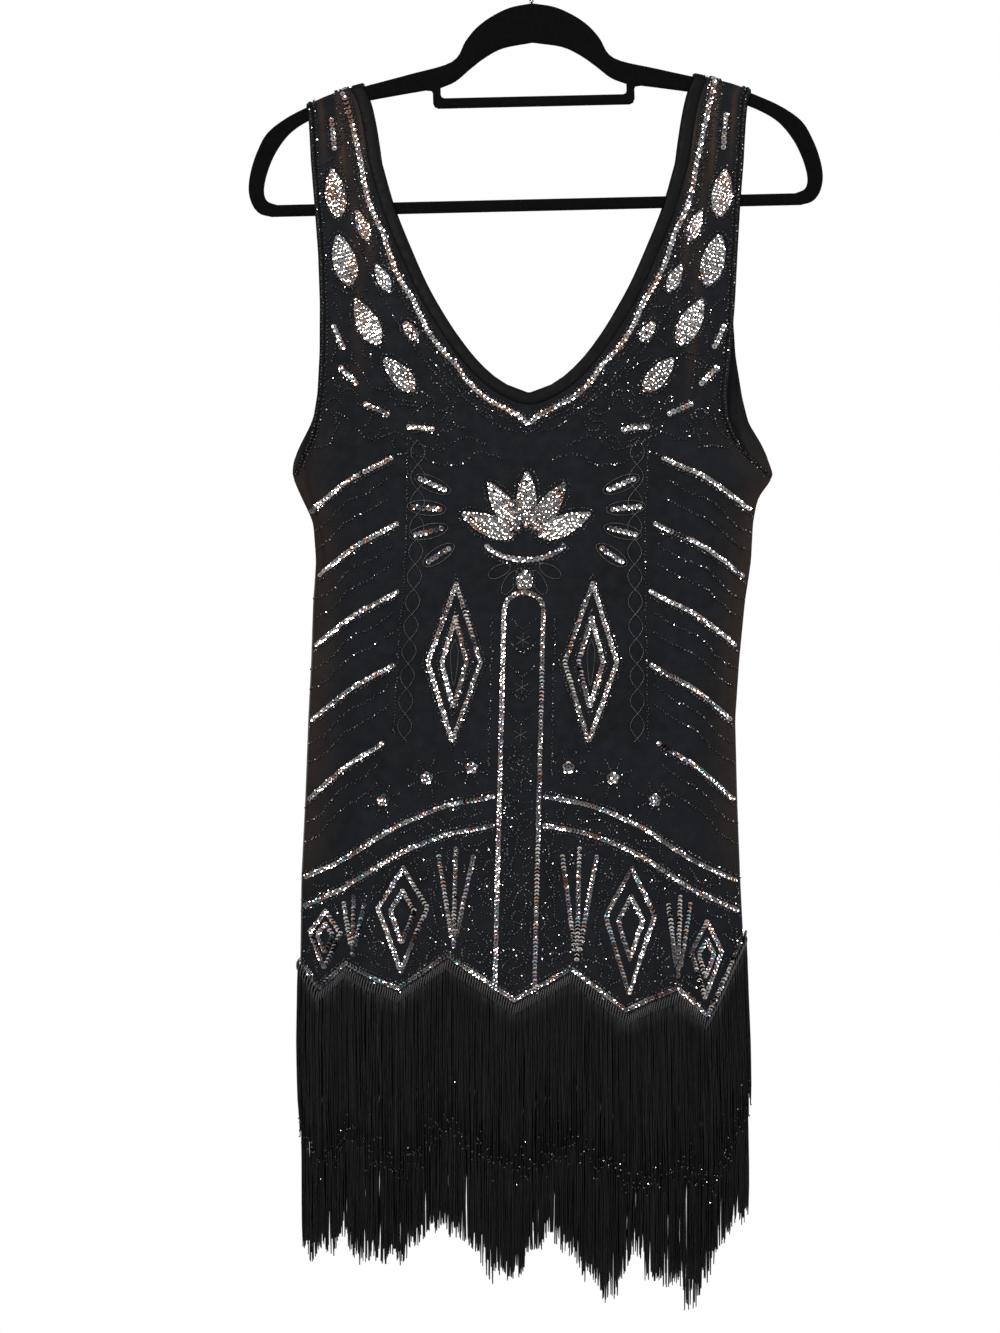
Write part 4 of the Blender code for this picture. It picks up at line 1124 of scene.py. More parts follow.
class Needlework:
    """All that is sewn on one side: sequins, beads and cords, as places on its cloth."""

    def __init__(self, side, seed):
        self.side = side
        self.luck = np.random.default_rng(seed)
        self.sequins = []
        self.beads = []
        self.cords = []
        self.taken = np.zeros(GRID_SIZE, bool)

    def mark(self, places, radius):
        """Keep the scattered beads away from places."""
        reach = range(-math.ceil(radius), math.ceil(radius) + 1)
        cells = np.round(places - GRID_LOW).astype(int)
        for step in product(reach, reach):
            if math.hypot(*step) <= radius:
                across, up = np.clip(cells + step, 0, np.array(GRID_SIZE) - 1).T
                self.taken[across, up] = True

    def inside(self, places, margin):
        """Which places lie inside the side's outer edges by a margin."""
        left, right = self.side.edges(places[:, 1])
        return (places[:, 0] > left + margin) & (places[:, 0] < right - margin)

    def spaced(self, line, pitch):
        """Places a pitch apart along a line as it lies on the cloth, with their headings."""
        fine, heading = resample(line, 0.8)
        along = lengths_along(self.side.face(*fine.T))
        marks = even_marks(along, pitch)
        nearest = np.clip(np.searchsorted(along, marks), 0, len(fine) - 1)
        return read_line(marks, along, fine), heading[nearest]

    def lay_sequins(self, places, heading, lift=SEQUIN_LIFT, tilt=SEQUIN_TILT, scale=1.0):
        """Sequins at places, each leaning back along its heading."""
        extras = [np.broadcast_to(value, len(places)) for value in (lift, tilt, scale)]
        rows = np.column_stack([places, heading, *extras])
        self.sequins.append(rows[self.inside(places, SEQUIN_MARGIN)])
        self.mark(places, SEQUIN_CLEARANCE)

    def sequin_row(self, line, pitch=SEQUIN_PITCH, tilt=SEQUIN_TILT, scale=1.0):
        """A row of sequins along a line, just overlapping."""
        places, heading = self.spaced(line, pitch)
        places = places + self.luck.normal(0.0, SEQUIN_JITTER, places.shape)
        self.lay_sequins(places, heading, tilt=tilt, scale=scale)

    def rope(self, line):
        """A row of closely overlapping sequins, which reads as a rope."""
        self.sequin_row(line, ROPE_PITCH, ROPE_TILT, ROPE_SCALE)

    def bead_row(self, line, spread=0.45, pitch=BEAD_PITCH):
        """A row of seed beads along a line, a little uneven as hand work is."""
        places, _ = self.spaced(line, pitch)
        places = places + self.luck.normal(0.0, spread, places.shape)
        self.beads.append(places[self.inside(places, BEAD_MARGIN)])
        self.mark(places, BEAD_CLEARANCE)

    def bead_rows(self, rows, line_at):
        """Rows of beads from a table, each along the line at its inset."""
        for inset, spread, pitch in rows:
            self.bead_row(line_at(inset), spread, pitch)

    def cord(self, line):
        """A line of chain stitch."""
        places, _ = resample(smooth_path(line, 5) if len(line) > 2 else line, STITCH_STEP)
        self.cords.append(places)
        self.mark(places, CORD_CLEARANCE)

    def fill(self, hand, leaf, blunt=LEAF_BLUNT):
        """A leaf or petal of overlapping sequins, narrow at its foot and outlined with beads."""
        middle = (leaf.u, leaf.height)
        axis = direction(leaf.lean)
        across = square_to(axis)
        places = []
        for row, along in enumerate(np.arange(FILL_MARGIN, leaf.length, FILL_ROW)):
            swell = math.sin(math.pi * (along / leaf.length) ** (0.5 / blunt))
            half = 0.5 * leaf.width * swell ** LEAF_FULLNESS
            count = max(int(round(2.0 * half / FILL_STEP)) + row % 2, 1)
            stops = np.linspace(-1.0, 1.0, count) * (half - FILL_MARGIN) if count > 1 else [0.0]
            places += [axis * (along - leaf.length / 2.0) + across * stop for stop in stops]
        line = self.side.on_cloth(hand, np.array(places) + middle)
        heading = np.tile(axis * (hand, 1.0), (len(line), 1))
        lift = SEQUIN_LIFT + self.luck.uniform(*FILL_LIFTS, len(line))
        tilt = SEQUIN_TILT * self.luck.uniform(*FILL_TILTS, len(line))
        jitter = self.luck.normal(0.0, SEQUIN_JITTER, line.shape)
        self.lay_sequins(line + jitter, heading, lift, tilt, FILL_SCALE)
        rim = oval(middle, leaf.lean, -leaf.length / 2.0 - RIM_GAPS[0], leaf.width / 2.0 + RIM_GAPS[1], 25)
        self.bead_row(self.side.on_cloth(hand, rim))

    def wander(self, inside, tries):
        """Fill a region with short wandering strings of beads that keep clear of one another."""
        luck = self.luck
        low, high = inside.low, inside.high
        for _ in range(tries):
            spot = np.array([luck.uniform(low[0], high[0]), luck.uniform(low[1], high[1])])
            heading = luck.uniform(0.0, 2.0 * math.pi)
            bend = luck.normal(0.0, STRING_BENDS[0])
            string = []
            for _ in range(STRING_LONGEST):
                cell = np.round(spot - GRID_LOW).astype(int)
                if not inside(spot) or self.taken[cell[0], cell[1]]:
                    break
                string.append(spot)
                if luck.random() < STRING_TURN_CHANCE:
                    bend = luck.normal(0.0, STRING_BENDS[1])
                heading += bend
                spot = spot + STRING_PITCH * np.array([math.cos(heading), math.sin(heading)])
            if len(string) >= STRING_SHORTEST:
                string = np.array(string)
                self.beads.append(string + luck.normal(0.0, STRING_JITTER, string.shape))
                self.mark(string, STRING_CLEARANCE)


class Region:
    """A part of a side to fill, between two heights that may change across it."""

    def __init__(self, left, right, top, bottom, keep_out=None):
        self.left, self.right, self.top, self.bottom = left, right, top, bottom
        self.keep_out = keep_out
        x = np.linspace(left, right, 60)
        self.low = (left, min(bottom(value) for value in x))
        self.high = (right, max(top(value) for value in x))

    def __call__(self, spot):
        x, height = spot
        if not (self.left < x < self.right and self.bottom(x) < height < self.top(x)):
            return False
        return self.keep_out is None or not self.keep_out(x, height)


# The design: a generic one in the style of the 1920s, mirrored about the centre line

BeadRow = namedtuple("BeadRow", "inset spread pitch")
NECK_SEQUIN_INSET = 14.5
NECK_BEAD_ROWS = table(BeadRow, (11.2, 0.4, BEAD_PITCH), (17.8, 0.5, BEAD_PITCH), (20.8, 0.7, 2.8))
ARM_BEAD_ROWS = table(BeadRow, (2.0, 0.3, BEAD_PITCH), (5.6, 0.5, 3.2))
HEM_ROPE_INSET = 8.5
HEM_BEAD_ROWS = table(BeadRow, (12.5, 0.5, BEAD_PITCH), (4.6, 0.3, BEAD_PITCH))
HEM_ROW_SHARE = 0.03
Leaf = namedtuple("Leaf", "u height length width lean")
STRAP_LEAVES = table(
    Leaf,
    (149.0, -226.0, 36.0, 15.0, 8.0),
    (142.0, -278.0, 40.0, 17.0, 15.0),
    (124.0, -327.0, 38.0, 16.0, 27.0),
    (99.0, -368.0, 34.0, 14.0, 42.0),
    (128.0, -252.0, 24.0, 9.0, 21.0),
    (112.0, -293.0, 22.0, 9.0, 26.0),
    (91.0, -334.0, 18.0, 8.0, 35.0),
)
STRAP_STEM = [(146.0, -168.0), (144.0, -205.0), (135.0, -250.0), (117.0, -298.0), (92.0, -341.0),
              (60.0, -378.0), (26.0, -402.0)]
Dash = namedtuple("Dash", "u height length lean")
STRAP_DASHES = table(
    Dash,
    (151.0, -188.0, 15.0, 8.0),
    (146.0, -338.0, 17.0, 24.0),
    (138.0, -368.0, 17.0, 44.0),
    (116.0, -394.0, 18.0, 66.0),
    (82.0, -409.0, 18.0, 84.0),
)
DASH_BEAD_GAP = 3.4
STRAP_WAVES = [
    [(30.0, -422.0), (48.0, -416.0), (66.0, -425.0), (84.0, -421.0), (102.0, -412.0), (118.0, -418.0),
     (132.0, -409.0)],
    [(20.0, -432.0), (36.0, -428.0), (52.0, -437.0), (70.0, -436.0), (90.0, -428.0), (108.0, -433.0)],
    [(8.0, -412.0), (24.0, -407.0), (42.0, -392.0), (60.0, -374.0), (76.0, -356.0)],
]
CHEST_BASE = np.array([0.0, -496.0])
CHEST_PETAL_GAP = 11.0
CHEST_PETAL_SIZE = (42.0, 15.0)
CHEST_LEANS = (0.0, 33.0, 66.0)
CHEST_DROP = Leaf(0.0, -526.0, 16.0, 12.0, 0.0)
CHEST_DROP_BLUNT = 0.5
# A row of sequins on an arc under the petals, and a row of beads under that
Arc = namedtuple("Arc", "u height radius start end squash")
CHEST_SEQUIN_ARC = Arc(0.0, -492.0, 32.0, 205.0, 335.0, 0.55)
CHEST_BEAD_ARC = Arc(0.0, -492.0, 37.0, 200.0, 340.0, 0.58)
DASH_RING_GAPS = (5.0, 5.5)
CHEST_DASHES = table(
    Dash,
    (72.0, -452.0, 20.0, 66.0),
    (76.0, -470.0, 20.0, 84.0),
    (74.0, -488.0, 20.0, 103.0),
    (66.0, -506.0, 18.0, 124.0),
)
LOOP_BASE = np.array([0.0, -508.0])
LOOP_DISTANCE = 22.0
LOOP_HALF_WIDTH = 4.5
Loop = namedtuple("Loop", "lean reach")
CHEST_LOOPS = table(Loop, (118.0, 24.0 / 2.6), (150.0, 27.0 / 2.6))
Lozenge = namedtuple("Lozenge", "u height half_height half_width")
LOZENGES = table(Lozenge, (52.0, -588.0, 60.0, 20.0), (52.0, -588.0, 34.0, 9.5))
LOZENGE_BEAD_GAPS = (7.0, 4.0)
LOZENGE_LEAF = [(52.0, -570.0), (49.0, -582.0), (52.0, -606.0), (55.0, -582.0), (52.0, -570.0)]
COLUMN_HALF_WIDTH = 15.0
COLUMN_TOP = -548.0
COLUMN_FOOT = 20.0
CHEVRON = np.array([(-9.0, 5.0), (0.0, -3.0), (9.0, 5.0)])
CHEVRON_HEIGHTS = np.arange(-560.0, -650.0, -18.0)
STAR_HEIGHTS = (-571.0, -607.0, -643.0)
STAR_LEANS = (0.0, 60.0, 120.0)
STAR_SIZE = 12.0
UPRIGHT = [(24.0, height) for height in np.linspace(-552.0, -672.0, 24)]
SideRow = namedtuple("SideRow", "u height")
SIDE_ROWS = table(SideRow, (104.0, -432.0), (99.0, -482.0), (97.0, -534.0), (99.0, -590.0), (106.0, -650.0))
ROW_FALL = 40.0
ROW_FALL_GAIN = 1.5
ROW_BEND = (0.5, 0.42)
ROW_BEAD_GAP = 4.0
BeadWave = namedtuple("BeadWave", "drop wave")
SIDE_WAVES = table(BeadWave, (16.0, 2.0), (31.0, 1.4))
# How far along a wave is outward and downward, and which way it swings there
WAVE_BENDS = [(0.28, 0.2, -1.0), (0.55, 0.5, 1.0), (0.8, 0.8, -1.0)]
WAVE_START = 3.0
CHAIN_HEIGHTS = np.arange(-418.0, -650.0, -3.0)
CHAIN_U = 86.0
CHAIN_SWING = 5.4
CHAIN_BOW = 3.0
CHAIN_BOW_PERIOD = 60.0
CHAIN_LEAF = 19.0
STEM_U = 94.0
SWAG = np.array([(20.0, -690.0), (58.0, -698.0), (98.0, -716.0), (134.0, -739.0), (172.0, -757.0)])
SWAG_GAP = 22.0
SWAG_BEAD_GAP = 3.8
Flower = namedtuple("Flower", "u height size")
FLOWERS = table(Flower, (37.0, -668.0, 13.0), (71.0, -676.0, 15.0), (104.0, -693.0, 14.0))
FLOWER_PETALS = 5
FLOWER_PETAL_REACH = 2.9
FLOWER_LIFTS = (0.9, 1.5)
FLOWER_RAYS = 8
FLOWER_RAY_LEAN = 67.5
FLOWER_RAY_START = 7.5
Kite = namedtuple("Kite", "u height half_width")
KITES = table(Kite, (87.0, 102.0, 19.0), (146.0, 58.0, 12.0))
KITE_FOOT = 20.0
KITE_CEILING_GAP = 9.0
KITE_WIDEST = 0.62
KITE_MIDDLE = 0.55
KITE_RINGS = (1.0, 0.5)
Fan = namedtuple("Fan", "u reach")
FANS = table(Fan, (47.0, 13.0), (124.0, 8.0))
FAN_FOOT = 18.0
FAN_TOP_GAP = 12.0
FAN_FOOT_SPREAD = 2.0
FAN_STEPS = (8.0, 6.0)
FAN_ARC_RADIUS = 16.0
SCATTER_GAP = 3.0
SCATTER_HEM_GAP = 14.0
SCATTER_COLUMN_TOP = -650.0
SCATTER_TRIES = 4800
STRAP_TRIES = 420
STRAP_SPAN = (40.0, 172.0)
STRAP_TOP = -192.0
STRAP_FOOT = -424.0
STRAP_GAPS = (25.0, 8.0)


def swag_height(u):
    """Height of the upper swag."""
    return np.interp(u, *SWAG.T)


def sew_edges(work):
    """Rows along the neck, the armholes and the hem."""
    side = work.side
    work.sequin_row(neck_row(side, NECK_SEQUIN_INSET))
    work.bead_rows(NECK_BEAD_ROWS, lambda inset: neck_row(side, inset))
    for hand in HANDS:
        work.bead_rows(ARM_BEAD_ROWS, lambda inset: arm_line(side, hand, inset))
    left, right = (side.x_at(hand, HEM_ROW_SHARE, HEM_LEVEL) for hand in HANDS)
    corners = HEM[(HEM[:, 0] > left) & (HEM[:, 0] < right), 0]
    x = np.array([left, *corners, right])
    hem = np.stack([x, hem_height(x)], axis=1)
    work.rope(hem + (0.0, HEM_ROPE_INSET))
    work.bead_rows(HEM_BEAD_ROWS, lambda inset: hem + (0.0, inset))


def sew_straps(work):
    """A vine of leaves down each strap and beads round it."""
    on_cloth = work.side.on_cloth
    for hand in HANDS:
        for leaf in STRAP_LEAVES:
            work.fill(hand, leaf)
        work.bead_row(on_cloth(hand, smooth_path(STRAP_STEM, 6)), 0.5)
        for dash in STRAP_DASHES:
            line = on_cloth(hand, straight(*dash))
            work.sequin_row(line)
            for gap in (DASH_BEAD_GAP, -DASH_BEAD_GAP):
                work.bead_row(beside(line, gap))
        for wave in STRAP_WAVES:
            work.bead_row(on_cloth(hand, smooth_path(wave, 6)), 0.6)


def sew_chest(work, petals):
    """A fan of petals at the chest, with dashes beside it and loops of cord under it."""
    on_cloth = work.side.on_cloth
    if petals:
        for lean in CHEST_LEANS:
            middle = CHEST_BASE + (CHEST_PETAL_GAP + CHEST_PETAL_SIZE[0] / 2.0) * direction(lean)
            for hand in (HANDS if lean else (RIGHT,)):
                work.fill(hand, Leaf(*middle, *CHEST_PETAL_SIZE, lean))
    work.sequin_row(on_cloth(RIGHT, arc(*CHEST_SEQUIN_ARC)))
    work.bead_row(on_cloth(RIGHT, arc(*CHEST_BEAD_ARC)))
    work.fill(RIGHT, CHEST_DROP, CHEST_DROP_BLUNT)
    for hand in HANDS:
        for dash in CHEST_DASHES:
            work.sequin_row(on_cloth(hand, straight(*dash)))
            reach = dash.length / 2.0 + DASH_RING_GAPS[0]
            work.cord(on_cloth(hand, oval((dash.u, dash.height), dash.lean, reach, DASH_RING_GAPS[1], 13)))
        for loop in CHEST_LOOPS:
            middle = LOOP_BASE + LOOP_DISTANCE * direction(loop.lean)
            work.cord(on_cloth(hand, oval(middle, loop.lean, loop.reach, LOOP_HALF_WIDTH, 11)))


def sew_sides(work):
    """Slanting rows at the sides, and a chain of leaves in cord beside them."""
    side = work.side
    on_cloth = side.on_cloth
    for hand in HANDS:
        for row, (u, height) in enumerate(SIDE_ROWS):
            low = height - ROW_FALL - ROW_FALL_GAIN * row
            end = float(side.x_at(hand, 0.02, low) - side.read("centre", low)) * hand
            start, end = np.array([u, height]), np.array([end, low])
            line = np.array([start, mix(start, end, ROW_BEND), end])
            work.rope(on_cloth(hand, smooth_path(line, 6)))
            work.bead_row(on_cloth(hand, smooth_path(line - (0.0, ROW_BEAD_GAP), 6)), 0.4)
            for drop, wave in SIDE_WAVES:
                bends = [mix(start, end, (out, down)) + (0.0, swing * wave)
                         for out, down, swing in WAVE_BENDS]
                below = np.array([start + (WAVE_START, 0.0), *bends, end]) - (0.0, drop)
                work.bead_row(on_cloth(hand, smooth_path(below, 6)))
        bow = CHAIN_BOW * np.sin(CHAIN_HEIGHTS / CHAIN_BOW_PERIOD)
        for swing in (-CHAIN_SWING, CHAIN_SWING):
            phase = math.pi * (CHAIN_HEIGHTS - CHAIN_HEIGHTS[0]) / CHAIN_LEAF
            u = CHAIN_U + bow + swing * np.sin(phase)
            work.cord(on_cloth(hand, np.stack([u, CHAIN_HEIGHTS], axis=1)))
        stem = np.stack([STEM_U + bow, CHAIN_HEIGHTS], axis=1)
        work.bead_row(on_cloth(hand, stem[::4]), 0.4, 2.6)


def sew_middle(work):
    """The centre column and the lozenges beside it."""
    on_cloth = work.side.on_cloth
    bottom = float(hem_height(work.side.read("centre", HEM_LEVEL))) + COLUMN_FOOT
    arch = arc(0.0, COLUMN_TOP, COLUMN_HALF_WIDTH, 0.0, 180.0, 0.9)
    work.rope(on_cloth(RIGHT, [(COLUMN_HALF_WIDTH, bottom), *arch, (-COLUMN_HALF_WIDTH, bottom)]))
    for height in CHEVRON_HEIGHTS:
        work.bead_row(on_cloth(RIGHT, CHEVRON + (0.0, height)), 0.35)
    for height, lean in product(STAR_HEIGHTS, STAR_LEANS):
        work.cord(on_cloth(RIGHT, straight(0.0, height, STAR_SIZE, lean)))
    for hand in HANDS:
        for u, height, half_height, half_width in LOZENGES:
            work.rope(on_cloth(hand, diamond(u, height, half_height, half_width)))
            above, aside = LOZENGE_BEAD_GAPS
            work.bead_row(on_cloth(hand, diamond(u, height, half_height + above, half_width + aside)), 0.4)
        work.cord(on_cloth(hand, LOZENGE_LEAF))
        work.bead_row(on_cloth(hand, UPRIGHT), 0.5)


def sew_swags(work):
    """Two swags over the skirt and a row of small flowers above them."""
    on_cloth = work.side.on_cloth
    upper = smooth_path(SWAG, 6)
    for hand in HANDS:
        for gap in (0.0, SWAG_GAP):
            work.rope(on_cloth(hand, upper - (0.0, gap)))
        for gap in (-SWAG_BEAD_GAP, SWAG_GAP - SWAG_BEAD_GAP, SWAG_GAP + SWAG_BEAD_GAP):
            work.bead_row(on_cloth(hand, upper - (0.0, gap)), 0.4)
        for flower in FLOWERS:
            middle = np.array([flower.u, flower.height])
            for petal in range(FLOWER_PETALS):
                outward = direction(-petal * 360.0 / FLOWER_PETALS)
                spot = on_cloth(hand, [middle + FLOWER_PETAL_REACH * outward])
                work.lay_sequins(spot, outward[None], FLOWER_LIFTS[0])
            work.lay_sequins(on_cloth(hand, [middle]), np.array([[0.0, 1.0]]), FLOWER_LIFTS[1], 0.0)
            for ray in range(FLOWER_RAYS):
                outward = direction(FLOWER_RAY_LEAN - ray * 360.0 / FLOWER_RAYS)
                line = [middle + outward * reach for reach in (FLOWER_RAY_START, flower.size)]
                work.bead_row(on_cloth(hand, line), 0.3)


def kite_span(side, hand, kite):
    """Heights of a kite's foot and top: over a low corner of the hem and under the lower swag."""
    foot = float(hem_height(side.read("centre", HEM_LEVEL) + hand * kite.u)) + KITE_FOOT
    ceiling = swag_height(kite.u + 6.0) - SWAG_GAP
    return foot, min(foot + kite.height, ceiling - KITE_CEILING_GAP)


def kite_ring(side, hand, kite, share):
    """A ring inside a kite, as a closed outline."""
    foot, top = kite_span(side, hand, kite)
    widest = mix(foot, top, KITE_WIDEST)
    corners = np.array([(kite.u, top), (kite.u + kite.half_width, widest), (kite.u, foot),
                        (kite.u - kite.half_width, widest)])
    middle = np.array([kite.u, mix(foot, top, KITE_MIDDLE)])
    return polygon(middle + (corners - middle) * share)


def sew_skirt(work):
    """Nested kites over the hem's low corners and fans of rays over its high ones."""
    side = work.side
    for hand in HANDS:
        for kite, share in product(KITES, KITE_RINGS):
            work.rope(side.on_cloth(hand, kite_ring(side, hand, kite, share)))
        for fan in FANS:
            foot = float(hem_height(side.read("centre", HEM_LEVEL) + hand * fan.u)) + FAN_FOOT
            top = swag_height(fan.u) - SWAG_GAP - FAN_TOP_GAP
            for spread in (-1.0, 0.0, 1.0):
                start = (fan.u + spread * FAN_FOOT_SPREAD, foot + abs(spread) * FAN_STEPS[0])
                end = (fan.u + spread * fan.reach, top - abs(spread) * FAN_STEPS[1])
                work.rope(side.on_cloth(hand, [start, end]))
            work.bead_row(side.on_cloth(hand, arc(fan.u, foot, FAN_ARC_RADIUS, 40.0, 140.0)), 0.4)


def kite_spaces(side):
    """A test for places inside the kites, which the scattered beads keep out of."""
    centre = float(side.read("centre", HEM_LEVEL))
    kites = [(centre + hand * kite.u, kite.half_width, *kite_span(side, hand, kite))
             for hand, kite in product(HANDS, KITES)]

    def in_kite(x, height):
        for middle, half_width, foot, top in kites:
            along = (height - foot) / (top - foot)
            rise = along / KITE_WIDEST if along < KITE_WIDEST else (1.0 - along) / (1.0 - KITE_WIDEST)
            if rise > 0.0 and abs(x - middle) < half_width * rise:
                return True
        return False

    return in_kite


def scatter_beads(work):
    """Wandering strings of beads in the centre column, between the swags and in the skirt."""
    side = work.side
    centre = float(side.read("centre", -700.0))
    left, right = (float(side.x_at(hand, HEM_ROW_SHARE, -760.0)) for hand in HANDS)

    def under_swag(drop):
        return lambda x: float(swag_height(abs(x - centre))) - drop

    def over_hem(x):
        return float(hem_height(x)) + SCATTER_HEM_GAP

    column = Region(centre - 14.0, centre + 10.0, lambda x: SCATTER_COLUMN_TOP, over_hem)
    between = Region(left, right, under_swag(SCATTER_GAP), under_swag(SWAG_GAP - SCATTER_GAP))
    skirt = Region(left, right, under_swag(SWAG_GAP + SCATTER_GAP), over_hem, kite_spaces(side))
    work.wander(column, SCATTER_TRIES // 8)
    work.wander(between, SCATTER_TRIES // 5)
    work.wander(skirt, SCATTER_TRIES)


def scatter_strap_beads(work):
    """Wandering strings of beads round the leaves of the straps."""
    side = work.side
    middle = float(side.read("centre", -300.0))
    for hand, edge in zip(HANDS, HAND_WORDS):

        def off_strap(x, height, hand=hand, edge=edge):
            centre = side.read("centre", height)
            outer = hand * (side.read(edge, height) - centre)
            inner = side.read("neck", height)
            return not inner + STRAP_GAPS[0] < hand * (x - centre) < outer - STRAP_GAPS[1]

        left, right = sorted(middle + hand * reach for reach in STRAP_SPAN)
        work.wander(Region(left, right, lambda x: STRAP_TOP, lambda x: STRAP_FOOT, off_strap), STRAP_TRIES)


# Sequins, beads and cords as pieces

def sequin_template():
    """A cup sequin with its hole: points and quads, open at the hole."""
    angles = np.arange(SEQUIN_SIDES) * 2.0 * math.pi / SEQUIN_SIDES
    rings = [(SEQUIN_HOLE, 0.0), (0.62 * SEQUIN_RADIUS, 0.06), (SEQUIN_RADIUS, SEQUIN_CUP)]
    points = [(reach * math.cos(angle), reach * math.sin(angle), rise)
              for reach, rise in rings for angle in angles]
    return np.array(points), [grid_faces(ring_index(len(rings), SEQUIN_SIDES))]


def bead_template(radius):
    """A faceted bead, in the form of an icosahedron."""
    golden = (1.0 + math.sqrt(5.0)) / 2.0
    points = []
    for a, b in product((-1.0, 1.0), (-golden, golden)):
        points += [(0.0, a, b), (a, b, 0.0), (b, 0.0, a)]
    points = np.array(points)
    points *= radius / np.linalg.norm(points[0])
    edge = min(np.linalg.norm(points[0] - point) for point in points[1:]) * 1.01
    faces = []
    for corners in combinations(range(12), 3):
        if all(np.linalg.norm(points[p] - points[q]) < edge for p, q in combinations(corners, 2)):
            i, j, k = corners
            outward = np.dot(np.cross(points[j] - points[i], points[k] - points[i]), points[i]) > 0.0
            faces.append((i, j, k) if outward else (i, k, j))
    return points, [np.array(faces)]


def turned(first, second, angle):
    """Two directions square to each other, turned by an angle from the first towards the second."""
    cosine, sine = np.cos(angle)[:, None], np.sin(angle)[:, None]
    return first * cosine + second * sine, second * cosine - first * sine


def build_sequins(work, material):
    """All the sequins of a side as one piece."""
    side = work.side
    x, height, heading_x, heading_up, lift, tilt, scale = np.concatenate(work.sequins).T
    origins, normals = side.frames(x, height)
    ahead = side.face(x + heading_x * 0.8, height + heading_up * 0.8)
    behind = side.face(x - heading_x * 0.8, height - heading_up * 0.8)
    tangent = unit(ahead - behind)
    sideways = np.cross(normals, tangent)
    origins = origins + normals * lift[:, None]
    drift = np.sin(x / 15.0 + 1.4 * np.sin(height / 21.0)) + np.sin(height / 11.0 - x / 33.0)
    tilt = tilt + 0.1 * drift + work.luck.normal(0.0, 0.07, len(x))
    sway = 0.1 * np.sin(height / 17.0 + x / 9.0) + work.luck.normal(0.0, 0.08, len(x))
    tangent, normals = turned(tangent, normals, tilt)
    sideways, normals = turned(sideways, normals, sway)
    template, faces = sequin_template()
    scales = scale * work.luck.uniform(0.94, 1.04, len(x))
    axes = np.stack([tangent, sideways, normals], axis=1)
    points, groups = copies(template, faces, origins, axes, scales)
    tint = np.repeat(sequin_tints(x, height, work.luck), len(template), axis=0)
    add_piece("sequins_" + side.name, points, groups, material, "sequins", (), tint)


def random_axes(count, luck):
    """Random right-handed axes."""
    w, x, y, z = unit(luck.normal(0.0, 1.0, (count, 4))).T
    return np.stack([
        np.stack([1 - 2 * (y * y + z * z), 2 * (x * y + z * w), 2 * (x * z - y * w)], axis=1),
        np.stack([2 * (x * y - z * w), 1 - 2 * (x * x + z * z), 2 * (y * z + x * w)], axis=1),
        np.stack([2 * (x * z + y * w), 2 * (y * z - x * w), 1 - 2 * (x * x + y * y)], axis=1),
    ], axis=1)


def add_glass(name, origins, radius, scales, luck, material):
    """Faceted beads at places, turned at random, as one piece."""
    template, faces = bead_template(radius)
    points, groups = copies(template, faces, origins, random_axes(len(origins), luck), scales)
    add_piece(name, points, groups, material, "beads", smooth=False)


def build_beads(work, material):
    """All the small black beads of a side as one piece."""
    places = np.concatenate(work.beads)
    scales = work.luck.uniform(*BEAD_SCALES, len(places))
    origins = work.side.lifted(*places.T, BEAD_LIFT)
    add_glass("beads_" + work.side.name, origins, BEAD_RADIUS, scales, work.luck, material)


def build_cords(work, material):
    """All the chain-stitch cords of a side as one piece."""
    parts = []
    for line in work.cords:
        origins, normals = work.side.frames(*line.T)
        path = origins + normals * CORD_LIFT
        radii = np.where(np.arange(len(path)) % 2, CORD_RADIUS, 0.6 * CORD_RADIUS)
        parts.append(sweep(path[None], normals[None], radii[None], 5))
    add_piece("cords_" + work.side.name, *joined(parts), material, "beads")


def build_needlework(side, seed, materials):
    """Everything sewn on one side. Only the front has the petals at the chest."""
    work = Needlework(side, seed)
    sew_edges(work)
    sew_straps(work)
    sew_chest(work, side is FRONT)
    sew_sides(work)
    sew_middle(work)
    sew_swags(work)
    sew_skirt(work)
    scatter_beads(work)
    scatter_strap_beads(work)
    build_sequins(work, materials["sequins"])
    build_beads(work, materials["beads"])
    build_cords(work, materials["cord"])


# Bindings

def band(side, edge, inward, flipped=False):
    """A raised band of cloth between two lines on a side, rounded at its edges."""
    lines = [side.lifted(*mix(edge, inward, across).T, lift) for across, lift in BINDING_PROFILE]
    grid = np.stack(lines, axis=1)
    faces = grid_faces(np.arange(len(edge) * len(lines)).reshape(grid.shape[:2]).T)
    if (side.facing > 0.0) != flipped:
        faces = faces[:, ::-1]
    return grid.reshape(-1, 3), [faces]


def stitches(side, line):
    """A row of small straight stitches along a line."""
    places, heading = resample(line, STITCH_PITCH)
    steps = np.linspace(-0.5, 0.5, 3)
    spots = places[:, None] + heading[:, None] * STITCH_LENGTH * steps[:, None]
    origins, normals = side.frames(spots[..., 0], spots[..., 1])
    path = origins + normals * np.array(STITCH_LIFTS)[:, None]
    return sweep(path, normals, np.broadcast_to(STITCH_RADII, path.shape[:2]), 4)


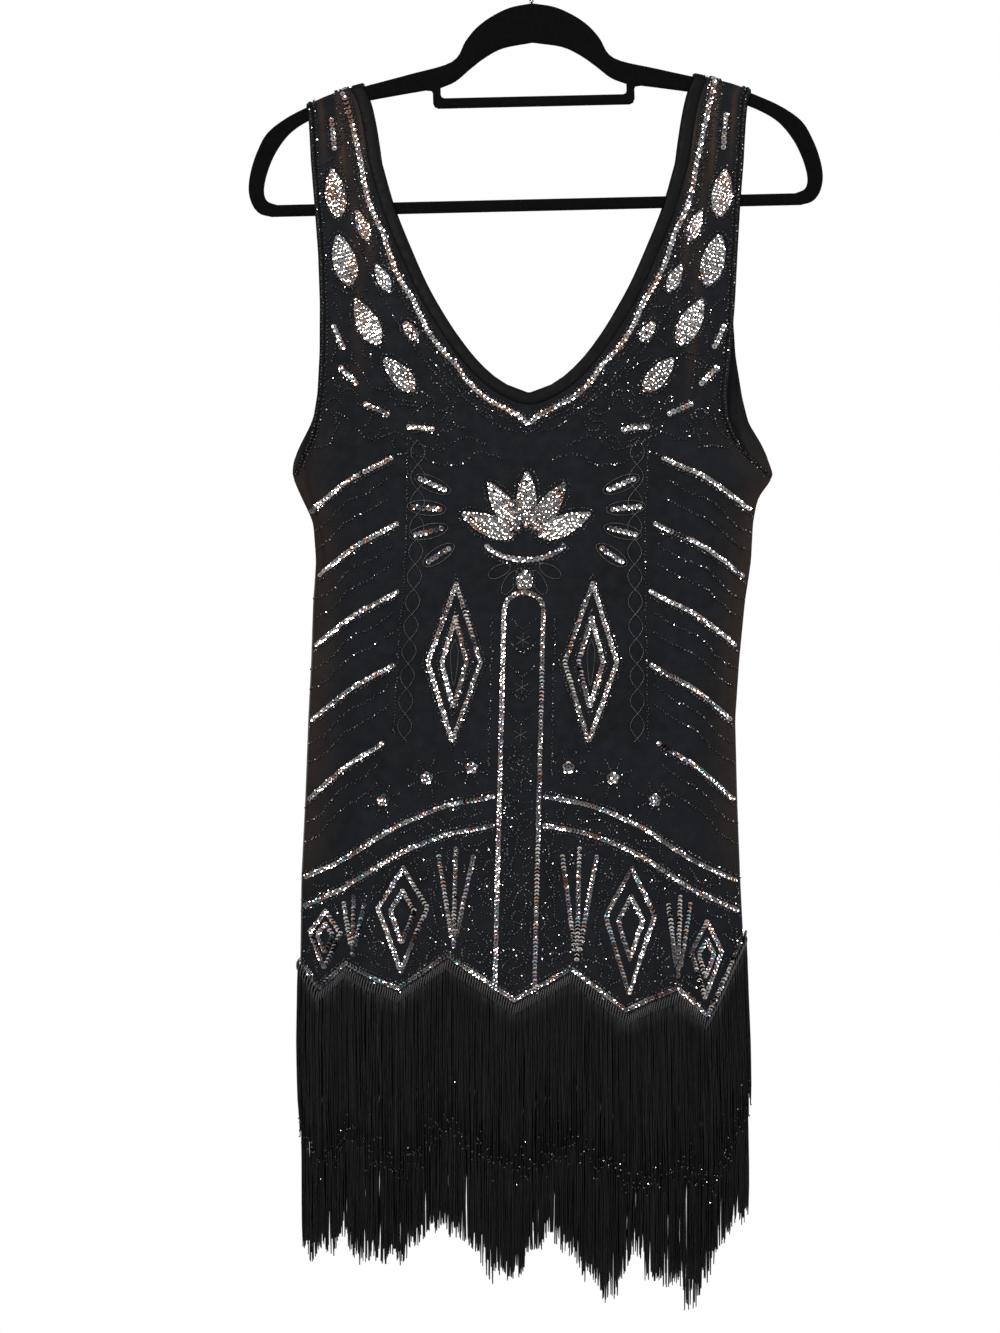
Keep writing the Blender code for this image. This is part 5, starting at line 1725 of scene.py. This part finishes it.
def build_bindings(side, material):
    """The bound edges of the neck and the armholes, with their stitching."""
    neck = band(side, neck_line(side, -NECK_BINDING_REACH), neck_line(side, NECK_BINDING_WIDTH))
    neck_stitches = stitches(side, neck_line(side, NECK_BINDING_WIDTH - NECK_STITCH_INSET))
    add_piece("binding_neck_" + side.name, *joined([neck, neck_stitches]), material, "binding",
              ("neck_binding_" + side.name,))
    for hand, word in zip(HANDS, HAND_WORDS):
        insets = (-ARM_BINDING_REACH, ARM_BINDING_WIDTH)
        outer, inner = (resample(arm_line(side, hand, inset), 3.0)[0] for inset in insets)
        count = min(len(outer), len(inner))
        arm = band(side, outer[:count], inner[:count], hand == RIGHT)
        arm_stitches = stitches(side, arm_line(side, hand, ARM_BINDING_WIDTH - ARM_STITCH_INSET))
        add_piece("binding_%s_arm_%s" % (word, side.name), *joined([arm, arm_stitches]), material,
                  "binding", ("arm_binding_%s_%s" % (side.name, word),))


# Fringe

def upper_tips(x):
    """Height where the upper fringe ends."""
    return hem_height(x) - UPPER_TIER_LENGTH


def lower_tips(x):
    """Height where the lower fringe ends."""
    return np.interp(x, *FRINGE_ENDS.T)


Tier = namedtuple("Tier", "name head_drop lift tips tip_scatter seed_step")
TIERS = table(
    Tier,
    ("upper", 0.0, FRINGE_LIFT, upper_tips, 6.5, 10),
    ("lower", UNDERSKIRT_LENGTH - 6.0, FRINGE_LIFT - UNDERSKIRT_DEPTH, lower_tips, 3.0, 20),
)


def build_yarns(side, tier, luck, material):
    """The twisted yarns of a tier, in loose clumps. Gives the ends of the yarns and their normals."""
    lengths, marks = across_marks(side)
    count = YARNS_IN_A_TIER
    order = np.arange(count)
    fractions = (order + 0.5 + luck.uniform(-YARN_SCATTER, YARN_SCATTER, count)) / count
    clump = np.floor(order / CLUMP_SIZE + luck.uniform(-CLUMP_MIXING, CLUMP_MIXING, count)).astype(int)
    clump_count = clump.max() + 2
    gathering = (clump + 0.5) * CLUMP_SIZE / count - fractions
    sway = luck.normal(0.0, CLUMP_SWAY, clump_count)[clump]
    tip_fractions = fractions + gathering * GATHERING + sway + luck.normal(0.0, TIP_SWAY, count)
    head_x = np.interp(fractions, lengths, marks)
    tip_x = np.interp(np.clip(tip_fractions, 0.001, 0.999), lengths, marks)
    head = hem_height(head_x) - tier.head_drop
    tip = tier.tips(tip_x) + luck.normal(0.0, tier.tip_scatter, count)
    tip = tip + luck.normal(0.0, CLUMP_SCATTER, clump_count)[clump]
    tip = tip + np.where(luck.random(count) < SHORT_SHARE, luck.uniform(*SHORTENING, count), 0.0)
    steps = np.linspace(0.0, 1.0, YARN_STEPS)
    height = mix(head[:, None], tip[:, None], steps)
    hand, share = side.share_at(head_x, np.full(count, HEM_LEVEL))
    drift = side.x_at(hand[:, None], share[:, None], height) - head_x[:, None]
    waver = luck.normal(0.0, WAVER, (count, 1))
    turns = luck.uniform(*WAVER_TURNS, (count, 1))
    waver = waver * np.sin(steps * turns + luck.uniform(*WAVER_STARTS, (count, 1)))
    left, right = side.edges(height)
    x = mix(head_x[:, None], tip_x[:, None], steps ** YARN_BOW) + drift + waver
    x = np.clip(x, left + YARN_MARGIN, right - YARN_MARGIN)
    lift = luck.uniform(*YARN_LIFTS, count)[:, None]
    lift = lift + CLUMP_LIFT * np.sin(steps * 5.0 + clump[:, None] * 1.7) * steps
    path, normals = side.frames(x, height)
    path = path + normals * (tier.lift + np.maximum(lift, YARN_LIFTS[0]))[..., None]
    radii = YARN_RADIUS * luck.uniform(*YARN_THICKNESSES, (count, 1))
    radii = radii * np.where(steps > YARN_TAPER[0], YARN_TAPER[1], 1.0)
    label = "%s_%s" % (tier.name, side.name)
    add_piece("yarn_" + label, *sweep(path, normals, radii, 4), material, "fringe", ("fringe_" + label,))
    return path[:, -1], normals[:, -1]


def build_heading(side, tier, material):
    """The looped heading of a fringe: a close row of short ribs across the tape."""
    x = np.interp((np.arange(HEADING_RIBS) + 0.5) / HEADING_RIBS, *across_marks(side))
    rise, shift, lift, radius = np.array(HEADING_RIB).T
    height = (hem_height(x) - tier.head_drop)[:, None] + rise
    path, normals = side.frames(x[:, None] + shift, height)
    path = path + normals * (tier.lift + lift)[:, None]
    shape = sweep(path, normals, np.broadcast_to(radius, path.shape[:2]), 4)
    add_piece("heading_%s_%s" % (tier.name, side.name), *shape, material, "fringe")


def build_knots(side, ends, normals, luck, material):
    """Small hard knots at the ends of the upper yarns, which glint."""
    ends = (ends + normals * KNOT_RADIUS)[luck.random(len(ends)) < KNOT_SHARE]
    scales = luck.uniform(*KNOT_SCALES, len(ends))
    add_glass("tips_upper_" + side.name, ends, KNOT_RADIUS, scales, luck, material)


def build_fringe(side, seed, materials):
    """Two tiers of twisted yarns that hang from looped headings."""
    for tier in TIERS:
        luck = np.random.default_rng(seed + tier.seed_step)
        ends, normals = build_yarns(side, tier, luck, materials["fringe"])
        build_heading(side, tier, materials["heading"])
        if tier.name == "upper":
            build_knots(side, ends, normals, luck, materials["beads"])


# Hanger

def add_outline(curve, points):
    """Add one closed outline to a flat curve."""
    spline = curve.splines.new("POLY")
    spline.points.add(len(points) - 1)
    spline.use_cyclic_u = True
    for target, point in zip(spline.points, points):
        target.co = (point[0] * METRES, point[1] * METRES, 0.0, 1.0)


def mirrored(half):
    """The left half of an outline, from its far end back to the middle."""
    return half[::-1] * (-1.0, 1.0)


def hanger_outlines():
    """The outline of the hanger with its two windows, each drawn as its right half first."""
    inner, outer = INNER_BAR_HALF_WIDTH
    top, low = INNER_BAR
    outside = smooth_path(HANGER_OUTSIDE, 5)
    corner = [(inner, top + 2.8), (inner - 0.8, top + 0.8), (inner - 2.8, top)]
    arch = np.concatenate([smooth_path(ARCH_WINDOW, 4), corner])
    bar_end = [(outer - 4.0, low), (outer - 1.2, low + 1.2), (outer, low + 4.0), (outer, -145.5),
               (outer + 1.0, -143.6)]
    main = np.concatenate([bar_end, smooth_path(MAIN_WINDOW, 5)[1:]])
    return [np.concatenate([mirrored(outside)[:-1], outside]), np.concatenate([mirrored(arch)[:-1], arch]),
            np.concatenate([mirrored(main), main])]


def build_hanger(material):
    """The flat velvet hanger: an arch, two arms with end loops, an inner bar and a lower bar."""
    curve = bpy.data.curves.new("hanger_outline", "CURVE")
    curve.dimensions = "2D"
    curve.fill_mode = "BOTH"
    for outline in hanger_outlines():
        add_outline(curve, outline)
    curve.bevel_depth = HANGER_EDGE_ROUND * METRES
    curve.bevel_resolution = 3
    curve.offset = -HANGER_EDGE_ROUND * METRES
    curve.extrude = (HANGER_THICKNESS / 2.0 - HANGER_EDGE_ROUND) * METRES
    guide = bpy.data.objects.new("hanger_outline", curve)
    bpy.context.scene.collection.objects.link(guide)
    bpy.context.view_layer.update()
    mesh = bpy.data.meshes.new_from_object(guide.evaluated_get(bpy.context.evaluated_depsgraph_get()))
    bpy.data.objects.remove(guide)
    pivot = Matrix.Translation((0.0, 0.0, ARCH_TOP * METRES))
    tilt = Matrix.Rotation(-HANGER_TILT, 4, "Y")
    upright = Matrix.Rotation(math.radians(90), 4, "X")
    mesh.transform(pivot @ tilt @ pivot.inverted() @ upright)
    mesh.materials.clear()
    mesh.materials.append(material)
    mesh.shade_smooth()
    mesh.set_sharp_from_angle(angle=math.radians(40))
    enlist(bpy.data.objects.new("velvet_hanger", mesh), ("hanger_frame",))


def build_hook(material):
    """The bent wire hook, whose inner top is the origin."""
    radius = HOOK_INNER_RADIUS + HOOK_WIRE / 2.0
    angles = np.linspace(HOOK_TIP_ANGLE, HOOK_THROAT_ANGLE, 48)
    bend = np.stack([radius * np.cos(angles), radius * np.sin(angles) - HOOK_INNER_RADIUS], axis=1)
    heading = np.array([math.sin(HOOK_THROAT_ANGLE), -math.cos(HOOK_THROAT_ANGLE)])
    stem_top = np.array([0.0, HOOK_STEM_TOP])
    controls = (bend[-1], bend[-1] + heading * HOOK_REACH, stem_top + (0.0, HOOK_REACH), stem_top)
    t = np.linspace(0.0, 1.0, 15)[1:, None]
    weights = ((1.0 - t) ** 3, 3.0 * t * (1.0 - t) ** 2, 3.0 * t * t * (1.0 - t), t ** 3)
    throat = sum(point * weight for point, weight in zip(controls, weights))
    path = np.concatenate([bend, throat, [(0.0, ARCH_TOP + SEAM_GAP + 1.0)]])
    path = np.stack([path[:, 0], np.zeros(len(path)), path[:, 1]], axis=1)
    normals = np.zeros_like(path) + (0.0, 1.0, 0.0)
    radii = np.full(len(path), HOOK_WIRE / 2.0)
    radii[:3] *= (0.55, 0.85, 1.0)
    add_piece("wire_hook", *sweep(path[None], normals[None], radii[None], 16), material, "steel", ("hook",))


# The stage, the light and the camera

def build_floor():
    """A pale floor far below the dress."""
    shader = Shader("floor_pale")
    shader.put(Base_Color=shader.blend(shader.noise(60.0), (0.79, 0.79, 0.78), (0.82, 0.82, 0.81)))
    shader.put(Roughness=0.9)
    shape = bpy.data.meshes.new("floor")
    angles = np.arange(FLOOR_SIDES) * 2.0 * math.pi / FLOOR_SIDES
    rim = [(FLOOR_RADIUS * math.cos(a), FLOOR_RADIUS * math.sin(a), FLOOR_HEIGHT) for a in angles]
    shape.from_pydata(rim, [], [list(range(FLOOR_SIDES))])
    shape.materials.append(shader.material)
    floor = bpy.data.objects.new("floor", shape)
    bpy.context.scene.collection.objects.link(floor)


def build_surrounding():
    """A plain white surrounding, which lights the dress dimly and more from above."""
    world = bpy.data.worlds.new("studio")
    bpy.context.scene.world = world
    world.use_nodes = True
    nodes = Nodes(world.node_tree)
    nodes.tree.nodes.clear()
    where = nodes.node("ShaderNodeTexCoord").outputs["Generated"]
    upward = nodes.node("ShaderNodeSeparateXYZ", {0: where}).outputs["Z"]
    share = nodes.ramp(upward, -0.6, 0.6, 0.0, 1.0)
    glow = nodes.blend(share, (0.16, 0.16, 0.17), (0.46, 0.46, 0.48))
    light = nodes.node("ShaderNodeBackground", {"Color": glow}).outputs[0]
    seen = nodes.node("ShaderNodeBackground", {"Color": (1.0, 1.0, 1.0, 1.0)}).outputs[0]
    seen_directly = nodes.node("ShaderNodeLightPath").outputs["Is Camera Ray"]
    mixed = nodes.node("ShaderNodeMixShader", {0: seen_directly, 1: light, 2: seen}).outputs[0]
    nodes.node("ShaderNodeOutputWorld", {"Surface": mixed})
    bpy.context.scene.view_settings.view_transform = "Standard"


# Places in metres
Lamp = namedtuple("Lamp", "name x y z size power")
LAMPS = table(
    Lamp,
    ("key", -1.1, -1.7, 0.35, 0.34, 19.0),
    ("fill", 1.5, -1.4, -0.4, 0.6, 8.0),
    ("spark_high", -0.35, -1.6, 0.5, 0.22, 11.0),
    ("spark_right", 0.6, -1.7, -0.1, 0.2, 9.0),
    ("spark_low", -0.3, -1.7, -1.2, 0.22, 8.0),
    ("back_high", 0.7, 1.8, 0.4, 0.9, 26.0),
    ("back_low", -1.2, 1.5, -0.6, 0.7, 10.0),
    ("side", 2.0, 0.1, -0.2, 0.7, 9.0),
)
AIM = Vector((-0.01, 0.0, -0.6))


def build_lights():
    """Soft lamps in front and behind, and small bright ones that make the sequins flash."""
    for name, x, y, z, size, power in LAMPS:
        lamp = bpy.data.lights.new(name, "AREA")
        lamp.energy = power
        lamp.size = size
        light = bpy.data.objects.new(name, lamp)
        light.location = (x, y, z)
        light.rotation_euler = (AIM - light.location).to_track_quat("-Z", "Y").to_euler()
        bpy.context.scene.collection.objects.link(light)


def build_camera():
    """A level camera in front of the dress that takes in the photograph's whole frame."""
    middle_x = (PHOTO_SIZE[0] / 2.0 - PHOTO_ORIGIN[0]) * PIXEL
    middle_z = -(PHOTO_SIZE[1] / 2.0 - PHOTO_ORIGIN[1]) * PIXEL
    distance = PHOTO_SIZE[1] * PIXEL * LENS / SENSOR
    data = bpy.data.cameras.new("camera")
    data.lens = LENS
    data.sensor_width = SENSOR
    camera = bpy.data.objects.new("camera", data)
    camera.location = (middle_x * METRES, (CLOTH_PLANE - distance) * METRES, middle_z * METRES)
    camera.rotation_euler = (math.radians(90), 0.0, 0.0)
    bpy.context.scene.collection.objects.link(camera)
    bpy.context.scene.camera = camera


def build_dress():
    """Every piece of the dress."""
    materials = {
        "net": net_material(),
        "binding": binding_material(),
        "slip": slip_material(),
        "fringe": fringe_material(),
        "heading": heading_material(),
        "cord": cord_material(),
        "beads": bead_material(),
        "sequins": sequin_material(),
    }
    for side, seed in ((FRONT, FRONT_SEED), (BACK, BACK_SEED)):
        net = build_panel(side, materials["net"])
        slip = build_underskirt(side, materials["slip"])
        build_bindings(side, materials["binding"])
        build_needlework(side, seed, materials)
        build_fringe(side, seed, materials)


build_camera()
build_floor()
build_surrounding()
build_lights()
build_hanger(velvet_material())
build_hook(steel_material())
build_dress()
